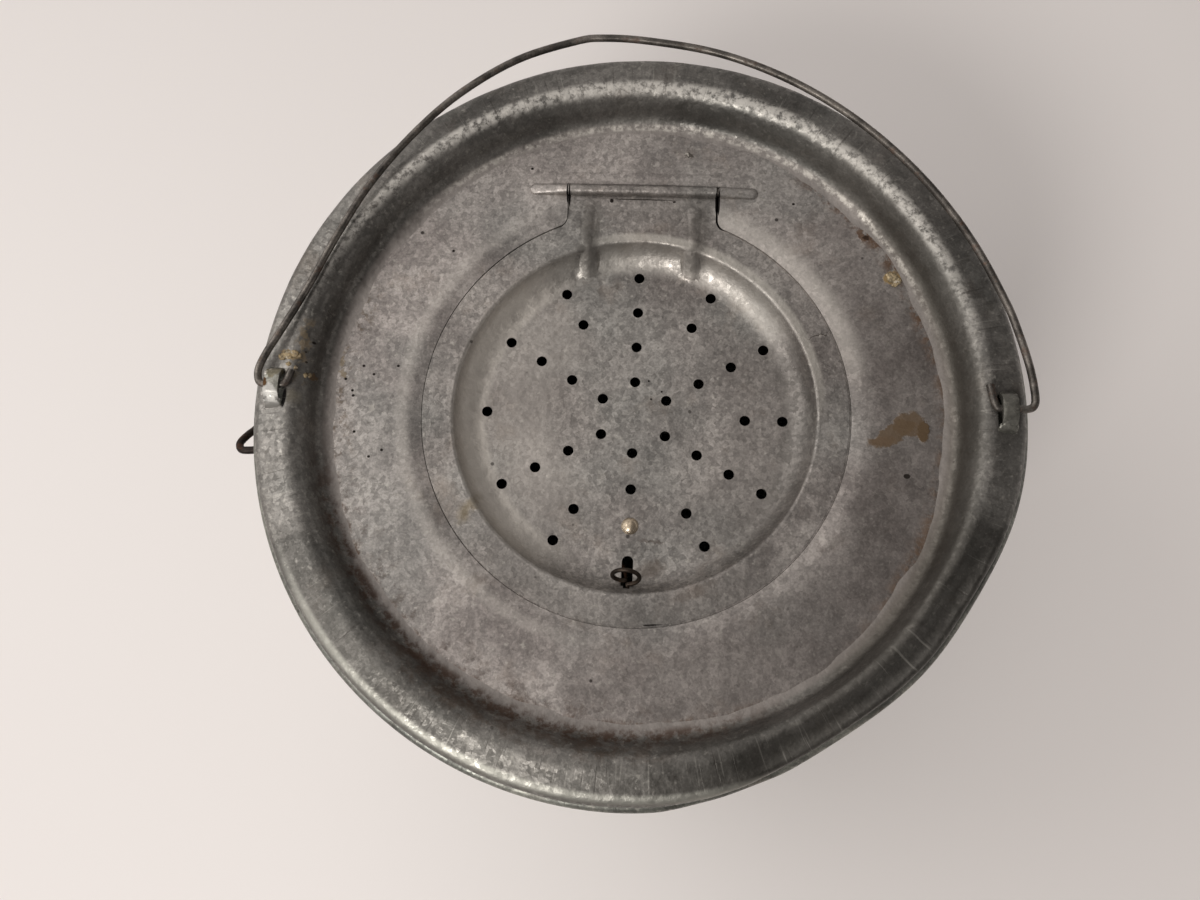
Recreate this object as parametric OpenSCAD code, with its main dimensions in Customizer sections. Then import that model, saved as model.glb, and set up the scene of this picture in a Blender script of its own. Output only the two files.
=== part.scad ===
// Galvanised bait bucket. An inner bucket with a perforated body, a float collar and a hinged
// lid door hangs by its collar on the rolled rim of an outer pail, and each has a wire bail.
// Millimetres. Z is up and the origin is on the ground, on the axis of the buckets.
// X runs through the ears of the inner bail, and the door's hinge is on the +Y side.

/* [Sheet and clearances] */
// Thickness of all the galvanised sheet
sheet_t = 0.6; // [0.5:0.1:0.8]
// Gap all round between the door and the deck
door_gap = 0.6; // [0.4:0.1:1]
// Radial clearance of the hinge knuckle on its pin
pin_fit = 0.05; // [0.02:0.01:0.1]
// Gap kept between moving wires and what they lie on
wire_gap = 0.3; // [0.2:0.1:0.8]

/* [Outer pail] */
// Height from the ground to the top of the rolled rim
pail_h = 222; // [180:1:270]
// Radius of the rim, to the middle of the wire in it
rim_r = 139.3; // [136:0.1:168]
// Diameter of the wire rolled into the rim
rim_wire_d = 3.4; // [2.5:0.1:4.5]
// Outside radius of the wall at the ground
foot_r = 112; // [104:0.5:118]
// Height of the hollow under the floor
foot_h = 7; // [5:0.5:12]
// Height of the seam round the foot
foot_seam_h = 6; // [4:0.5:8]
// Thickness that the foot seam and side seam stand out
seam_t = 1; // [0.6:0.1:1.4]
// Width of the side seam
seam_w = 7; // [5:0.5:10]
// Turn of the pail under the inner bucket, in degrees
pail_turn = 7; // [0:0.5:12]

/* [Pail ears and bail] */
// Depth of the pail ears below the top of the rim
pail_ear_drop = 18; // [16:0.5:26]
// Clear depth between the wall and the face of an ear
pail_ear_depth = 6.4; // [6:0.1:7]
// Half the width of an ear's raised face
pail_ear_half = 8; // [7.5:0.5:10]
// Width of each riveted flange of an ear
pail_ear_flange = 8; // [7:0.5:10]
// Height of an ear
pail_ear_h = 16; // [14:0.5:20]
// Radius of the shank of an ear's rivet
rivet_r = 1.6; // [1.2:0.1:2]
// Radius of the head of an ear's rivet
rivet_head_r = 3; // [2.5:0.1:3.5]
// Diameter of the pail's bail wire
pail_bail_d = 3; // [2.6:0.1:3.4]
// Angle at which the pail's bail lies clear of the wall
pail_bail_lean = 1; // [0.5:0.5:8]

/* [Inner bucket] */
// Depth of the deck below the top of the rim
deck_drop = 5; // [4:0.5:8]
// Height of the collar above the deck
collar_h = 13; // [11:0.5:16]
// Width of the collar, from the deck to its outer edge
collar_w = 21.8; // [20:0.1:24]
// Width of the lip that rests on the rim of the pail
lip_w = 4.2; // [3.6:0.1:4.6]
// Depth of the float chamber below the deck
float_depth = 30; // [22:1:40]
// Outside radius of the body under the deck
body_r = 112.5; // [104:0.5:113]
// Outside radius of the body at its bottom
body_base_r = 98; // [90:0.5:101]
// Height of the body's bottom over the ground
body_base_z = 30; // [20:1:50]
// Radius of the perforations
perf_r = 2; // [1.5:0.1:2.5]
// Number of rows of perforations round the body
perf_rows = 5; // [3:1:6]
// Number of perforations in each row
perf_count = 20; // [12:1:28]

/* [Inner bail] */
// Diameter of the inner bail wire
bail_d = 2.8; // [2.4:0.1:3]
// Distance of the middle of each ear strap from the edge of the collar
ear_inset = 8.2; // [7.4:0.1:8.9]
// Width of an ear strap across the collar
ear_w = 5.4; // [4.5:0.1:5.6]
// Half the length of the flat top of an ear strap
ear_half = 4.4; // [3.8:0.1:5]
// Width of the open slit beside an ear strap
ear_slit = 0.5; // [0.4:0.1:0.7]
// Distance of the ears behind the middle of the bucket
ear_shift = 1; // [0:0.5:3]
// Angle above level at which the inner bail lies back
bail_lean = 1; // [1:0.5:4]

/* [Door] */
// Radius of the door's flange
door_r = 79.2; // [76:0.1:80]
// Depth of the pan below the flange
pan_depth = 8.9; // [6:0.1:10]
// Radius of the pan at the flange
pan_r = 67.9; // [66.5:0.1:68.5]
// Radius of the hollow curve between the pan's floor and its edge
pan_side_r = 12.5; // [12:0.1:13]
// Radius of the pan's edge
pan_edge_r = 1.6; // [1.2:0.1:2]
// Dish of the pan's floor at its middle
pan_dish = 1.4; // [0.5:0.1:2]
// Fall of the deck down to the door
bevel_drop = 1.6; // [1.2:0.1:3]
// Width of the sloping band of deck round the door
bevel_w = 7.2; // [6:0.1:8]
// Width of the seat under the door's edge
seat_w = 7.8; // [7:0.1:8.5]
// Distance between the rings of air holes
hole_pitch = 14; // [13:0.1:14.3]
// Radius of an air hole
hole_r = 2; // [1.5:0.1:2.3]

/* [Hinge] */
// Radius of the hinge pin
pin_r = 1.5; // [1.2:0.1:1.8]
// Width of the door's tongue and knuckle
tongue_w = 57.4; // [48:0.2:60]
// Radius of the inside corners at the tongue
tongue_fillet = 5; // [3:0.5:6]
// Length of each pin housing in the deck
housing_l = 13; // [9:0.5:16]
// Height of the pin above the deck
pin_rise = 0.7; // [0.5:0.1:1]
// Half the distance between the tongue's ribs
rib_half = 20.6; // [16:0.2:22]
// Radius of the round top of a rib
rib_r = 6; // [4:0.1:7]
// Height of a rib over the tongue
rib_rise = 0.5; // [0.4:0.05:0.8]

/* [Latch] */
// Diameter of the latch wire
latch_d = 1.6; // [1.3:0.1:1.8]
// Outside diameter of the finger ring
ring_d = 11.4; // [10:0.1:13]
// Lean of the finger ring towards the hinge, in degrees
ring_lean = 22; // [10:1:30]
// Width of the slot in the door
slot_w = 4.2; // [3.6:0.1:5]
// Length of the slot
slot_l = 11.3; // [11:0.1:12.5]
// Half the length of the channel that guides the latch wire
clip_half = 3; // [2.8:0.1:3.5]
// Distance that the latch slides
latch_travel = 6; // [5:0.5:7]
// Radius of the head of the latch rivet
latch_head_r = 3.2; // [2.4:0.1:3.4]

/* [Hidden] */

$fn = 48;
round_fn = 144;
small = 0.05;
swell = 0.06;
zinc = "#8f8d88";
dark_wire = "#4a4640";

// Pail: the wall's inner face runs straight up into the inside of the rolled bead.
bead_r = rim_wire_d / 2 + 0.1 + sheet_t;
bead_z = pail_h - bead_r;
wall_top_r = rim_r - bead_r + sheet_t;
wall_slope = (wall_top_r - foot_r) / bead_z;
function wall_r(z) = foot_r + wall_slope * z;
pail_axle_z = pail_h - pail_ear_drop;
pail_ear_in = wall_r(pail_axle_z) + pail_ear_depth;
pail_ear_t = 2 * sheet_t;
rivet_across = pail_ear_half + pail_ear_t + pail_ear_flange / 2;

// Deck, door and hinge levels.
deck_z = pail_h - deck_drop;
collar_r = rim_r + 0.1;
ear_r = collar_r - ear_inset;
pocket_half = ear_half + 2 * ear_slit + sheet_t + 0.1;
deck_r = collar_r - collar_w;
flange_z = deck_z - bevel_drop;
pan_z = flange_z - pan_depth;
seat_z = flange_z - sheet_t - 0.1;
step_r = door_r + door_gap;
bevel_r = step_r + bevel_w;
hatch_r = door_r - seat_w;
pin_y = bevel_r + 0.8;
pin_z = deck_z + pin_rise;
knuckle_r = pin_r + pin_fit + sheet_t;
notch_half = tongue_w / 2 + 0.5;
notch_back = pin_y + knuckle_r + 0.35;

// Inner bail: it lies just clear of the collar's crest.
bail_z = deck_z + collar_h + bail_d / 2 + wire_gap;
strap_z = bail_z + bail_d / 2 + wire_gap;

// Latch: the nose stops just short of the edge of the hatch, so that the door swings clear.
rivet_y = -3 * hole_pitch;
slot_y = -3.8 * hole_pitch;
latch_y = -hatch_r + 8.1;
nose_y = -hatch_r + 0.4;
nose_z = pan_z + 3.6;
tail_z = pan_z - pan_dish - sheet_t - latch_d / 2 - 0.3;
tail_x = -rivet_r - latch_d / 2 - sheet_t - 0.6;

// Route of the inner bail from the right ear to the left, as [across, reach].
inner_route = ear_r / 131.2 * [
    [137, 0], [139.4, 1], [140.2, 4.6], [138.8, 15], [135.3, 28], [131, 40], [120.5, 61.5],
    [107, 81.5], [90.5, 99.5], [71.5, 115], [50, 127.5], [26, 136.5], [0.5, 141], [-17, 142],
    [-28, 140.4], [-50.5, 132], [-72, 117], [-89, 99], [-103, 79], [-113.5, 58], [-120.5, 41.5],
    [-125.3, 31], [-130.5, 20.5], [-134.8, 12], [-137.1, 5.6], [-136.6, 1.2], [-134.6, 0]];

// Route of the pail's bail from the right ear to the left, as [across, reach].
outer_route = pail_ear_in / 142.1 * [
    [144.3, 0], [146, 1], [146.6, 4], [146.4, 10], [146.2, 20], [146.2, 35], [144, 55],
    [136, 80], [119.5, 107], [91.5, 132], [52, 150], [0, 158], [-52, 150], [-92, 132],
    [-120.5, 107], [-138, 80], [-146.5, 55], [-148.8, 35], [-149, 22], [-149.6, 14],
    [-152.4, 9.5], [-154.3, 5], [-153, 1], [-149.6, 0]];

// Angle below level at which the pail's bail would touch the wall.
bail_reach = max([for (p = outer_route) p.y]);
bail_touch = atan(wall_slope)
    + acos((wall_r(pail_axle_z) + pail_bail_d / 2) / (bail_reach * sqrt(1 + pow(wall_slope, 2))));

// ---- Curves and sheets ----

function unit(v) = v / norm(v);
function arc(c, r, a0, a1, n) =
    [for (i = [0:n]) let (a = a0 + (a1 - a0) * i / n) c + r * [cos(a), sin(a)]];

// Normal on the right of each run of a path, and its mitred value at each point.
function run_normal(p, i) = let (d = unit(p[i + 1] - p[i])) [d.y, -d.x];
function point_normal(p, i) =
    i == 0 ? run_normal(p, 0) :
    i == len(p) - 1 ? run_normal(p, i - 1) :
    let (a = run_normal(p, i - 1), b = run_normal(p, i)) (a + b) / (1 + a * b);
function beside(p, t) = [for (i = [0:len(p) - 1]) p[i] + point_normal(p, i) * t];
function reversed(p) = [for (i = [len(p) - 1:-1:0]) p[i]];

// A sheet of revolution whose thickness lies on the right of the path.
module round_sheet(path, t = sheet_t) {
    rotate_extrude($fn = round_fn) polygon(concat(path, reversed(beside(path, t))));
}

// Smooth points through a route.
function smooth(p, n) = concat(
    [for (i = [0:len(p) - 2]) for (j = [0:n - 1])
        let (t = j / n, a = p[max(i - 1, 0)], b = p[i], c = p[i + 1], d = p[min(i + 2, len(p) - 1)])
        (2 * b + (c - a) * t + (2 * a - 5 * b + 4 * c - d) * t * t
            + (3 * b - a - 3 * c + d) * t * t * t) / 2],
    [p[len(p) - 1]]);

// A wire along a route in the XY plane.
module flat_wire(route, d, sides = 12) {
    n = len(route);
    points = [for (i = [0:n - 1])
        let (run = unit(route[min(i + 1, n - 1)] - route[max(i - 1, 0)]), side = [-run.y, run.x])
        for (k = [0:sides - 1]) let (a = 360 * k / sides)
            concat(route[i] + side * cos(a) * d / 2, sin(a) * d / 2)];
    tube = [for (i = [0:n - 2]) for (k = [0:sides - 1]) let (m = (k + 1) % sides)
        [i * sides + k, (i + 1) * sides + k, (i + 1) * sides + m, i * sides + m]];
    ends = [[for (k = [0:sides - 1]) k], [for (k = [sides - 1:-1:0]) (n - 1) * sides + k]];
    polyhedron(points, concat(tube, ends));
}

// A straight wire between two points. Its ends are balls a touch larger than the wire.
module rod(a, b, d) {
    run = b - a;
    translate(a) rotate([0, acos(run.z / norm(run)), atan2(run.y, run.x)]) cylinder(d = d, h = norm(run));
    for (p = [a, b]) translate(p) sphere(d = d + swell);
}

// One copy as drawn and one mirrored to the -X side.
module both_sides() {
    children();
    mirror([1, 0, 0]) children();
}

// Everything of the outer pail is turned a little under the inner bucket.
module turned() {
    rotate([0, 0, pail_turn]) children();
}

// The straight end of a bail that turns in its ear, from inside to outside, and its hook.
module bail_end(inside, outside, hook, d) {
    translate([inside, 0, 0]) rotate([0, 90, 0]) cylinder(d = d + swell, h = outside + 1 - inside);
    rod([inside, 0, 0], [inside + hook.x, hook.y, 0], d);
}

// ---- Outer pail ----

module pail_wall() {
    color(zinc) turned() difference() {
        union() {
            round_sheet([[wall_r(bead_z), bead_z], [foot_r, 0]]);
            rotate_extrude($fn = round_fn) translate([rim_r, bead_z]) difference() {
                circle(bead_r);
                circle(bead_r - sheet_t);
            }
            round_sheet([[wall_r(foot_seam_h) + seam_t, foot_seam_h], [foot_r + seam_t, 0]], seam_t);
            side_seam();
        }
        rivet_places() translate([0, 0, -5]) cylinder(r = rivet_r, h = 10);
    }
}

// The folded seam down the wall, from the rim to the foot.
module side_seam() {
    top = bead_z - bead_r;
    rotate([0, 0, 135]) intersection() {
        round_sheet([[wall_r(top) + seam_t, top], [foot_r + seam_t, 0]], seam_t);
        translate([foot_r - 10, -seam_w / 2, 0]) cube([60, seam_w, pail_h]);
    }
}

module pail_bottom() {
    flange_r = foot_r - sheet_t - small;
    bend = 2.5;
    color(zinc) turned() round_sheet(concat(
        [[0, foot_h]], arc([flange_r - bend, foot_h - bend], bend, 90, 0, 4), [[flange_r, 0]]));
}

module rim_wire() {
    color(dark_wire) turned() rotate_extrude($fn = round_fn)
        translate([rim_r, bead_z]) circle(d = rim_wire_d);
}

// Puts its children on the wall at each rivet, with Z pointing outwards.
module rivet_places(sides = [0, 180]) {
    for (side = sides, across = [-1, 1])
        rotate([0, 0, side]) translate([wall_r(pail_axle_z), across * rivet_across, pail_axle_z])
            rotate([0, 90, 0]) translate([0, 0, -rivet_setback]) children();
}
rivet_setback = wall_r(pail_axle_z) - sqrt(pow(wall_r(pail_axle_z), 2) - pow(rivet_across, 2));

// A stamped ear: two flanges against the wall and a raised face with the bail's hole.
module pail_ear(side) {
    face_half = pail_ear_half + pail_ear_t;
    reach = face_half + pail_ear_flange;
    low = pail_axle_z - pail_ear_h / 2;
    high = pail_axle_z + pail_ear_h / 2;
    color(zinc) turned() rotate([0, 0, side]) difference() {
        union() {
            intersection() {
                round_sheet([[wall_r(high) + sheet_t + small, high], [wall_r(low) + sheet_t + small, low]]);
                translate([0, -reach, low]) cube([pail_ear_in, 2 * reach, pail_ear_h]);
            }
            difference() {
                translate([0, -face_half, low]) cube([pail_ear_in + pail_ear_t, 2 * face_half, pail_ear_h]);
                rotate_extrude($fn = round_fn) polygon([[0, low - 1], [wall_r(low - 1) + 2 * small, low - 1],
                    [wall_r(high + 1) + 2 * small, high + 1], [0, high + 1]]);
            }
        }
        translate([0, -pail_ear_half, low - 1]) cube([pail_ear_in, 2 * pail_ear_half, pail_ear_h + 2]);
        translate([pail_ear_in - 1, 0, pail_axle_z]) rotate([0, 90, 0])
            cylinder(d = pail_bail_d + 2 * wire_gap, h = pail_ear_t + 2);
        for (across = [-1, 1])
            translate([wall_r(pail_axle_z) - 8, across * rivet_across, pail_axle_z]) rotate([0, 90, 0])
                cylinder(r = rivet_r, h = 16);
    }
}

module pail_ear_left() { pail_ear(180); }

module pail_ear_right() { pail_ear(0); }

module ear_rivets() {
    head_h = 1.5;
    lift = rivet_head_r * wall_slope + 0.25;
    color(zinc) turned() rivet_places() {
        translate([0, 0, -sheet_t - lift - 0.2]) cylinder(r = rivet_r, h = 2 * (sheet_t + lift + 0.2));
        translate([0, 0, sheet_t + lift]) rivet_head(rivet_head_r, head_h);
        translate([0, 0, -sheet_t - lift]) mirror([0, 0, 1]) rivet_head(rivet_head_r, head_h / 2);
    }
}

// A low dome with a flat underside.
module rivet_head(r, h) {
    dome_r = (r * r + h * h) / (2 * h);
    intersection() {
        translate([0, 0, h - dome_r]) sphere(dome_r);
        cylinder(r = r, h = h);
    }
}

module pail_bail() {
    hook = pail_bail_d / 2 + 1.2;
    right = outer_route[0].x;
    left = outer_route[len(outer_route) - 1].x;
    inside = pail_ear_in - hook - wire_gap;
    color(dark_wire) turned() translate([0, 0, pail_axle_z]) rotate([pail_bail_lean - bail_touch, 0, 0]) {
        flat_wire(smooth(outer_route, 3), pail_bail_d);
        bail_end(inside, right, [0, 4.6], pail_bail_d);
        mirror([1, 0, 0]) bail_end(inside, -left, [0, 4.6], pail_bail_d);
    }
}

// ---- Inner bucket ----

function body_at(z) = body_base_r + (body_r - body_base_r) * (z - body_base_z) / (deck_z - body_base_z);

module inner_body() {
    top = deck_z - 3 * sheet_t;
    first = body_base_z + 22;
    last = deck_z - float_depth - 22;
    color(zinc) difference() {
        round_sheet([[deck_r - 1, top], [body_at(top), top], [body_base_r, body_base_z]]);
        for (row = [0:perf_rows - 1], i = [0:perf_count - 1])
            let (z = first + (last - first) * row / (perf_rows - 1))
                rotate([0, 0, (i + (row % 2) / 2) * 360 / perf_count]) translate([body_at(z) - 4, 0, z])
                    rotate([0, 90, 0]) cylinder(r = perf_r, h = 8);
    }
}

module inner_bottom() {
    bend = 2;
    edge = body_base_r - sheet_t - small;
    floor_z = body_base_z + 5;
    color(zinc) difference() {
        round_sheet(concat([[0, floor_z]], arc([edge - bend, floor_z - bend], bend, 90, 0, 4),
            [[edge, body_base_z]]));
        for (ring = [0:4], i = [0:max(0, 6 * ring - 1)])
            rotate([0, 0, ring == 0 ? 0 : 60 * i / ring]) translate([17 * ring, 0, floor_z - 2])
                cylinder(r = perf_r, h = 4);
    }
}

// Plan of the tongue with its two inside corners, and the door's circle left out.
module tongue_plan(half, edge_r, fillet, back) {
    corner = [half + fillet, sqrt(pow(edge_r + fillet, 2) - pow(half + fillet, 2))];
    translate([-half, 0]) square([2 * half, back]);
    both_sides() difference() {
        polygon([[half - 1, corner.y], corner, corner * edge_r / (edge_r + fillet),
            [half - 1, corner.y - 12]]);
        translate(corner) circle(fillet);
    }
}

module deck() {
    color(zinc) difference() {
        union() {
            difference() {
                round_sheet([[hatch_r, seat_z], [step_r, seat_z], [step_r + 0.2, flange_z],
                    [bevel_r, deck_z], [deck_r, deck_z]]);
                difference() {
                    translate([0, 0, seat_z - 2]) linear_extrude(20)
                        tongue_plan(notch_half, step_r + 0.1, tongue_fillet - 0.5, notch_back);
                    translate([0, 0, seat_z - 3]) cylinder(r = step_r - 0.1, h = 22, $fn = round_fn);
                }
            }
            both_sides() pin_housing();
            crease();
        }
        translate([-notch_half - housing_l - 1, pin_y, pin_z]) rotate([0, 90, 0])
            cylinder(r = pin_r + pin_fit, h = 2 * (notch_half + housing_l) + 2);
        both_sides() translate([notch_half - 1, pin_y - pin_r - pin_fit, seat_z - 5])
            cube([housing_l + 0.4, 2 * (pin_r + pin_fit), pin_z - seat_z + 5]);
    }
}

// A low ridge pressed up behind the knuckle.
module crease() {
    r = 5;
    rise = 0.4;
    translate([-notch_half, notch_back + 3.6, deck_z - sheet_t / 2]) difference() {
        translate([0, 0, rise + sheet_t / 2 - r]) rotate([0, 90, 0]) cylinder(r = r, h = 2 * notch_half);
        translate([-1, -2 * r, -4 * r]) cube([2 * notch_half + 2, 4 * r, 4 * r]);
    }
}

// A half-round emboss in the deck over one end of the hinge pin.
module pin_housing() {
    difference() {
        translate([notch_half, pin_y, pin_z]) {
            rotate([0, 90, 0]) cylinder(r = knuckle_r, h = housing_l);
            translate([housing_l, 0, 0]) sphere(knuckle_r);
        }
        translate([notch_half - 1, pin_y - 10, deck_z - 20 - sheet_t]) cube([housing_l + 10, 20, 20]);
    }
}

// Outer face of the collar in section, from the ledge under the deck to the lip on the rim.
lip_z = deck_z + deck_drop;
crest = [deck_r + 7.4, deck_z + collar_h - 2.6];
shoulder = [collar_r - 4.1, deck_z + collar_h - 5.7];
collar_path = concat(
    [[deck_r - 4, deck_z - sheet_t], [deck_r + 0.3, deck_z - sheet_t]],
    arc(crest, 2.6, 165, 80, 6), arc(shoulder, 4.1, 80, 0, 6),
    [[collar_r, lip_z + 0.8], [collar_r - 0.8, lip_z], [collar_r - lip_w, lip_z]]);

module float_collar() {
    color(zinc) union() {
        difference() {
            round_sheet(collar_path);
            for (side = [-1, 1]) translate([side * ear_r, ear_shift, deck_z + collar_h - 5])
                translate([-ear_w / 2 - ear_slit, -ear_half - 2 * ear_slit, 0])
                    cube([ear_w + 2 * ear_slit, 2 * ear_half + 4 * ear_slit, 10]);
        }
        for (side = [-1, 1]) translate([side * ear_r, ear_shift, 0]) ear_strap();
    }
}

// A strap lanced out of the collar, under which the inner bail's wire turns.
module ear_strap() {
    root = deck_z + collar_h - 1.7;
    foot = pocket_half + 1.5 * sheet_t;
    line = [[-foot - 1, root - 1.2], [-foot, root], [-ear_half, strap_z + sheet_t],
        [ear_half, strap_z + sheet_t], [foot, root], [foot + 1, root - 1.2]];
    translate([ear_w / 2, 0, 0]) rotate([90, 0, -90]) linear_extrude(ear_w)
        polygon(concat(line, reversed(beside(line, sheet_t))));
}

// Outer wall and floor of the float chamber, which hangs inside the pail.
module float_wall() {
    bend = 3;
    top_r = collar_r - lip_w - small;
    low_r = wall_r(deck_z - float_depth) - sheet_t - 3;
    low_z = deck_z - float_depth;
    color(zinc) round_sheet(concat([[top_r, lip_z + 0.6], [top_r, lip_z - 4]],
        arc([low_r - bend, low_z + bend], bend, 0, -90, 4),
        [[body_at(low_z) + 1, low_z], [body_at(low_z) + 0.7, low_z - 4]]));
}

// A small pan soldered under the opening of an ear strap, which keeps the float tight.
module ear_pocket(side) {
    half_x = ear_w / 2 + ear_slit + sheet_t + 0.1;
    low = lip_z + sheet_t + 0.2;
    color(zinc) difference() {
        translate([side * ear_r - half_x, ear_shift - pocket_half, low])
            cube([2 * half_x, 2 * pocket_half, 8]);
        translate([side * ear_r - half_x + sheet_t, ear_shift - pocket_half + sheet_t, low + sheet_t])
            cube([2 * (half_x - sheet_t), 2 * (pocket_half - sheet_t), 10]);
        under = beside(collar_path, sheet_t + small);
        rotate_extrude($fn = round_fn) polygon(concat([for (i = [2:15]) under[i]],
            [[collar_r + 5, pail_h], [collar_r + 5, pail_h + 30], [deck_r, pail_h + 30]]));
    }
}

module ear_pocket_left() { ear_pocket(-1); }

module ear_pocket_right() { ear_pocket(1); }

module hinge_pin() {
    half = notch_half + housing_l - 0.5;
    color(dark_wire) translate([-half, pin_y, pin_z]) rotate([0, 90, 0]) cylinder(r = pin_r, h = 2 * half);
}

module inner_bail() {
    right = inner_route[0].x;
    left = inner_route[len(inner_route) - 1].x;
    inside = ear_r - ear_w / 2 - bail_d / 2 - 0.3;
    color(dark_wire) translate([0, ear_shift, bail_z]) rotate([bail_lean, 0, 0]) {
        flat_wire(smooth(inner_route, 3), bail_d);
        bail_end(inside, right, [-2, 8.6], bail_d);
        mirror([1, 0, 0]) bail_end(inside, -left, [-2, 5.6], bail_d);
    }
}

// ---- Door ----

function pan_floor(r) = [r, pan_z - pan_dish * (1 - pow(r / floor_r, 2))];

// Upper face of the door in section, from the middle of the pan to the edge of the flange.
pan_turn = acos(1 - pan_depth / (pan_side_r + pan_edge_r));
floor_r = pan_r + pan_edge_r / 2 - (pan_side_r + pan_edge_r) * sin(pan_turn);
door_path = concat(
    [[0, pan_z - pan_dish]], [for (i = [1:4]) pan_floor(floor_r * i / 5)],
    arc([floor_r, pan_z + pan_side_r], pan_side_r, -90, pan_turn - 90, 8),
    arc([pan_r + pan_edge_r / 2, flange_z - pan_edge_r], pan_edge_r, 90 + pan_turn * 2 / 3, 90, 2),
    [[door_r, flange_z]]);

// Lower face of the tongue, from the flange to the knuckle.
tongue_level = door_r + 1;
tongue_top = pin_z - knuckle_r + small;
tongue_line = [[tongue_level - 0.2, flange_z - sheet_t], [tongue_level, flange_z - sheet_t],
    [pin_y - 1.5, tongue_top], [pin_y, tongue_top]];

module door() {
    color(zinc) difference() {
        union() {
            round_sheet(door_path);
            tongue();
            translate([-tongue_w / 2, pin_y, pin_z]) rotate([0, 90, 0])
                cylinder(r = knuckle_r, h = tongue_w);
            both_sides() rib();
        }
        translate([-tongue_w, pin_y, pin_z]) rotate([0, 90, 0])
            cylinder(r = pin_r + pin_fit, h = 2 * tongue_w);
        air_holes();
        latch_slot();
        translate([0, rivet_y, pan_z - 5]) cylinder(r = rivet_r, h = 10);
    }
}

// The level part of the tongue and the slope that runs up under the knuckle.
module tongue() {
    difference() {
        translate([0, 0, flange_z - sheet_t]) linear_extrude(sheet_t)
            tongue_plan(tongue_w / 2, door_r, tongue_fillet, tongue_level);
        translate([0, 0, pan_z]) cylinder(r = door_r - 2, h = 20, $fn = round_fn);
    }
    translate([-tongue_w / 2, 0, 0]) rotate([90, 0, 90]) linear_extrude(tongue_w)
        polygon(concat(tongue_line, reversed(beside(tongue_line, -sheet_t))));
}

// A low round rib that climbs out of the pan and runs along the tongue.
module rib() {
    crest_z = flange_z + rib_rise;
    foot = [rib_half, pan_r - 8.4, pan_z + 2.3 - rib_r];
    bend = [rib_half, pan_r - pan_edge_r / 3, crest_z - rib_r];
    head = [rib_half, pin_y - knuckle_r - rib_r + 1, crest_z + 0.3 - rib_r];
    difference() {
        union() {
            rod(foot, bend, 2 * rib_r);
            rod(bend, head, 2 * rib_r);
        }
        below_door();
    }
}

// The space under the middle of the door's sheet.
module below_door() {
    depth = 4 * rib_r;
    middle = beside(door_path, sheet_t / 2);
    sheet_middle = beside(tongue_line, -sheet_t / 2);
    rotate_extrude($fn = round_fn) polygon(concat([for (p = middle) [max(p.x, 0), p.y]],
        [[door_r, pan_z - depth], [0, pan_z - depth]]));
    rotate([90, 0, 90]) linear_extrude(tongue_w / 2)
        polygon(concat([[pan_r + 2, sheet_middle[0].y]], sheet_middle,
            [[pin_y, pan_z - depth], [pan_r + 2, pan_z - depth]]));
}

// Air holes on twelve lines: every other line has all four rings, and the rest have the outer two.
// The line with the latch leaves out its outer rings, and one line leaves out its third ring.
module air_holes() {
    for (line = [0:11], ring = [line % 2 == 1 ? 1 : 3:4])
        if (!(line == 9 && ring > 2) && !(line == 6 && ring == 3))
            rotate([0, 0, 30 * line]) translate([hole_pitch * ring, 0, pan_z - 5])
                cylinder(r = hole_r, h = 10);
}

// The slot for the latch wire, with a narrow run up the side of the pan.
module latch_slot() {
    translate([0, 0, pan_z - 5]) linear_extrude(9) {
        translate([0, slot_y - slot_w / 2]) circle(d = slot_w);
        translate([-slot_w / 2, slot_y - slot_l]) square([slot_w, slot_l - slot_w / 2]);
    }
    translate([-latch_d / 2 - 0.4, -hatch_r + 0.6, pan_z - 5])
        cube([latch_d + 0.8, hatch_r - 55, 5 + nose_z - pan_z + latch_d / 2 + 0.6]);
}

module latch_rivet() {
    head_h = 1.4;
    base = pan_floor(-rivet_y).y;
    color(zinc) translate([0, rivet_y, base]) {
        translate([0, 0, -2 * sheet_t - 0.5]) cylinder(r = rivet_r, h = 2 * sheet_t + 0.8);
        translate([0, 0, 0.2]) rivet_head(latch_head_r, head_h);
        translate([0, 0, -2 * sheet_t - 0.3]) mirror([0, 0, 1]) rivet_head(rivet_r + 0.4, head_h / 2);
    }
}

// A strip riveted under the pan, with a channel that guides the tail of the latch wire.
module latch_clip() {
    top = pan_floor(-rivet_y).y - sheet_t - 0.15;
    channel_r = latch_d / 2 + 0.1;
    color(zinc) translate([0, rivet_y, 0]) difference() {
        union() {
            translate([tail_x - 3.4, -clip_half, top - sheet_t])
                cube([8 - tail_x, 2 * clip_half, sheet_t]);
            translate([tail_x, clip_half, tail_z]) rotate([90, 0, 0])
                cylinder(r = channel_r + sheet_t, h = 2 * clip_half);
        }
        translate([tail_x, clip_half + 1, tail_z]) rotate([90, 0, 0])
            cylinder(r = channel_r, h = 2 * clip_half + 2);
        translate([tail_x - channel_r, -clip_half - 1, tail_z])
            cube([2 * channel_r, 2 * clip_half + 2, 5]);
        translate([-10, -clip_half - 1, top]) cube([20, 2 * clip_half + 2, 5]);
        translate([0, 0, top - 4]) cylinder(r = rivet_r, h = 8);
    }
}

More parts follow.
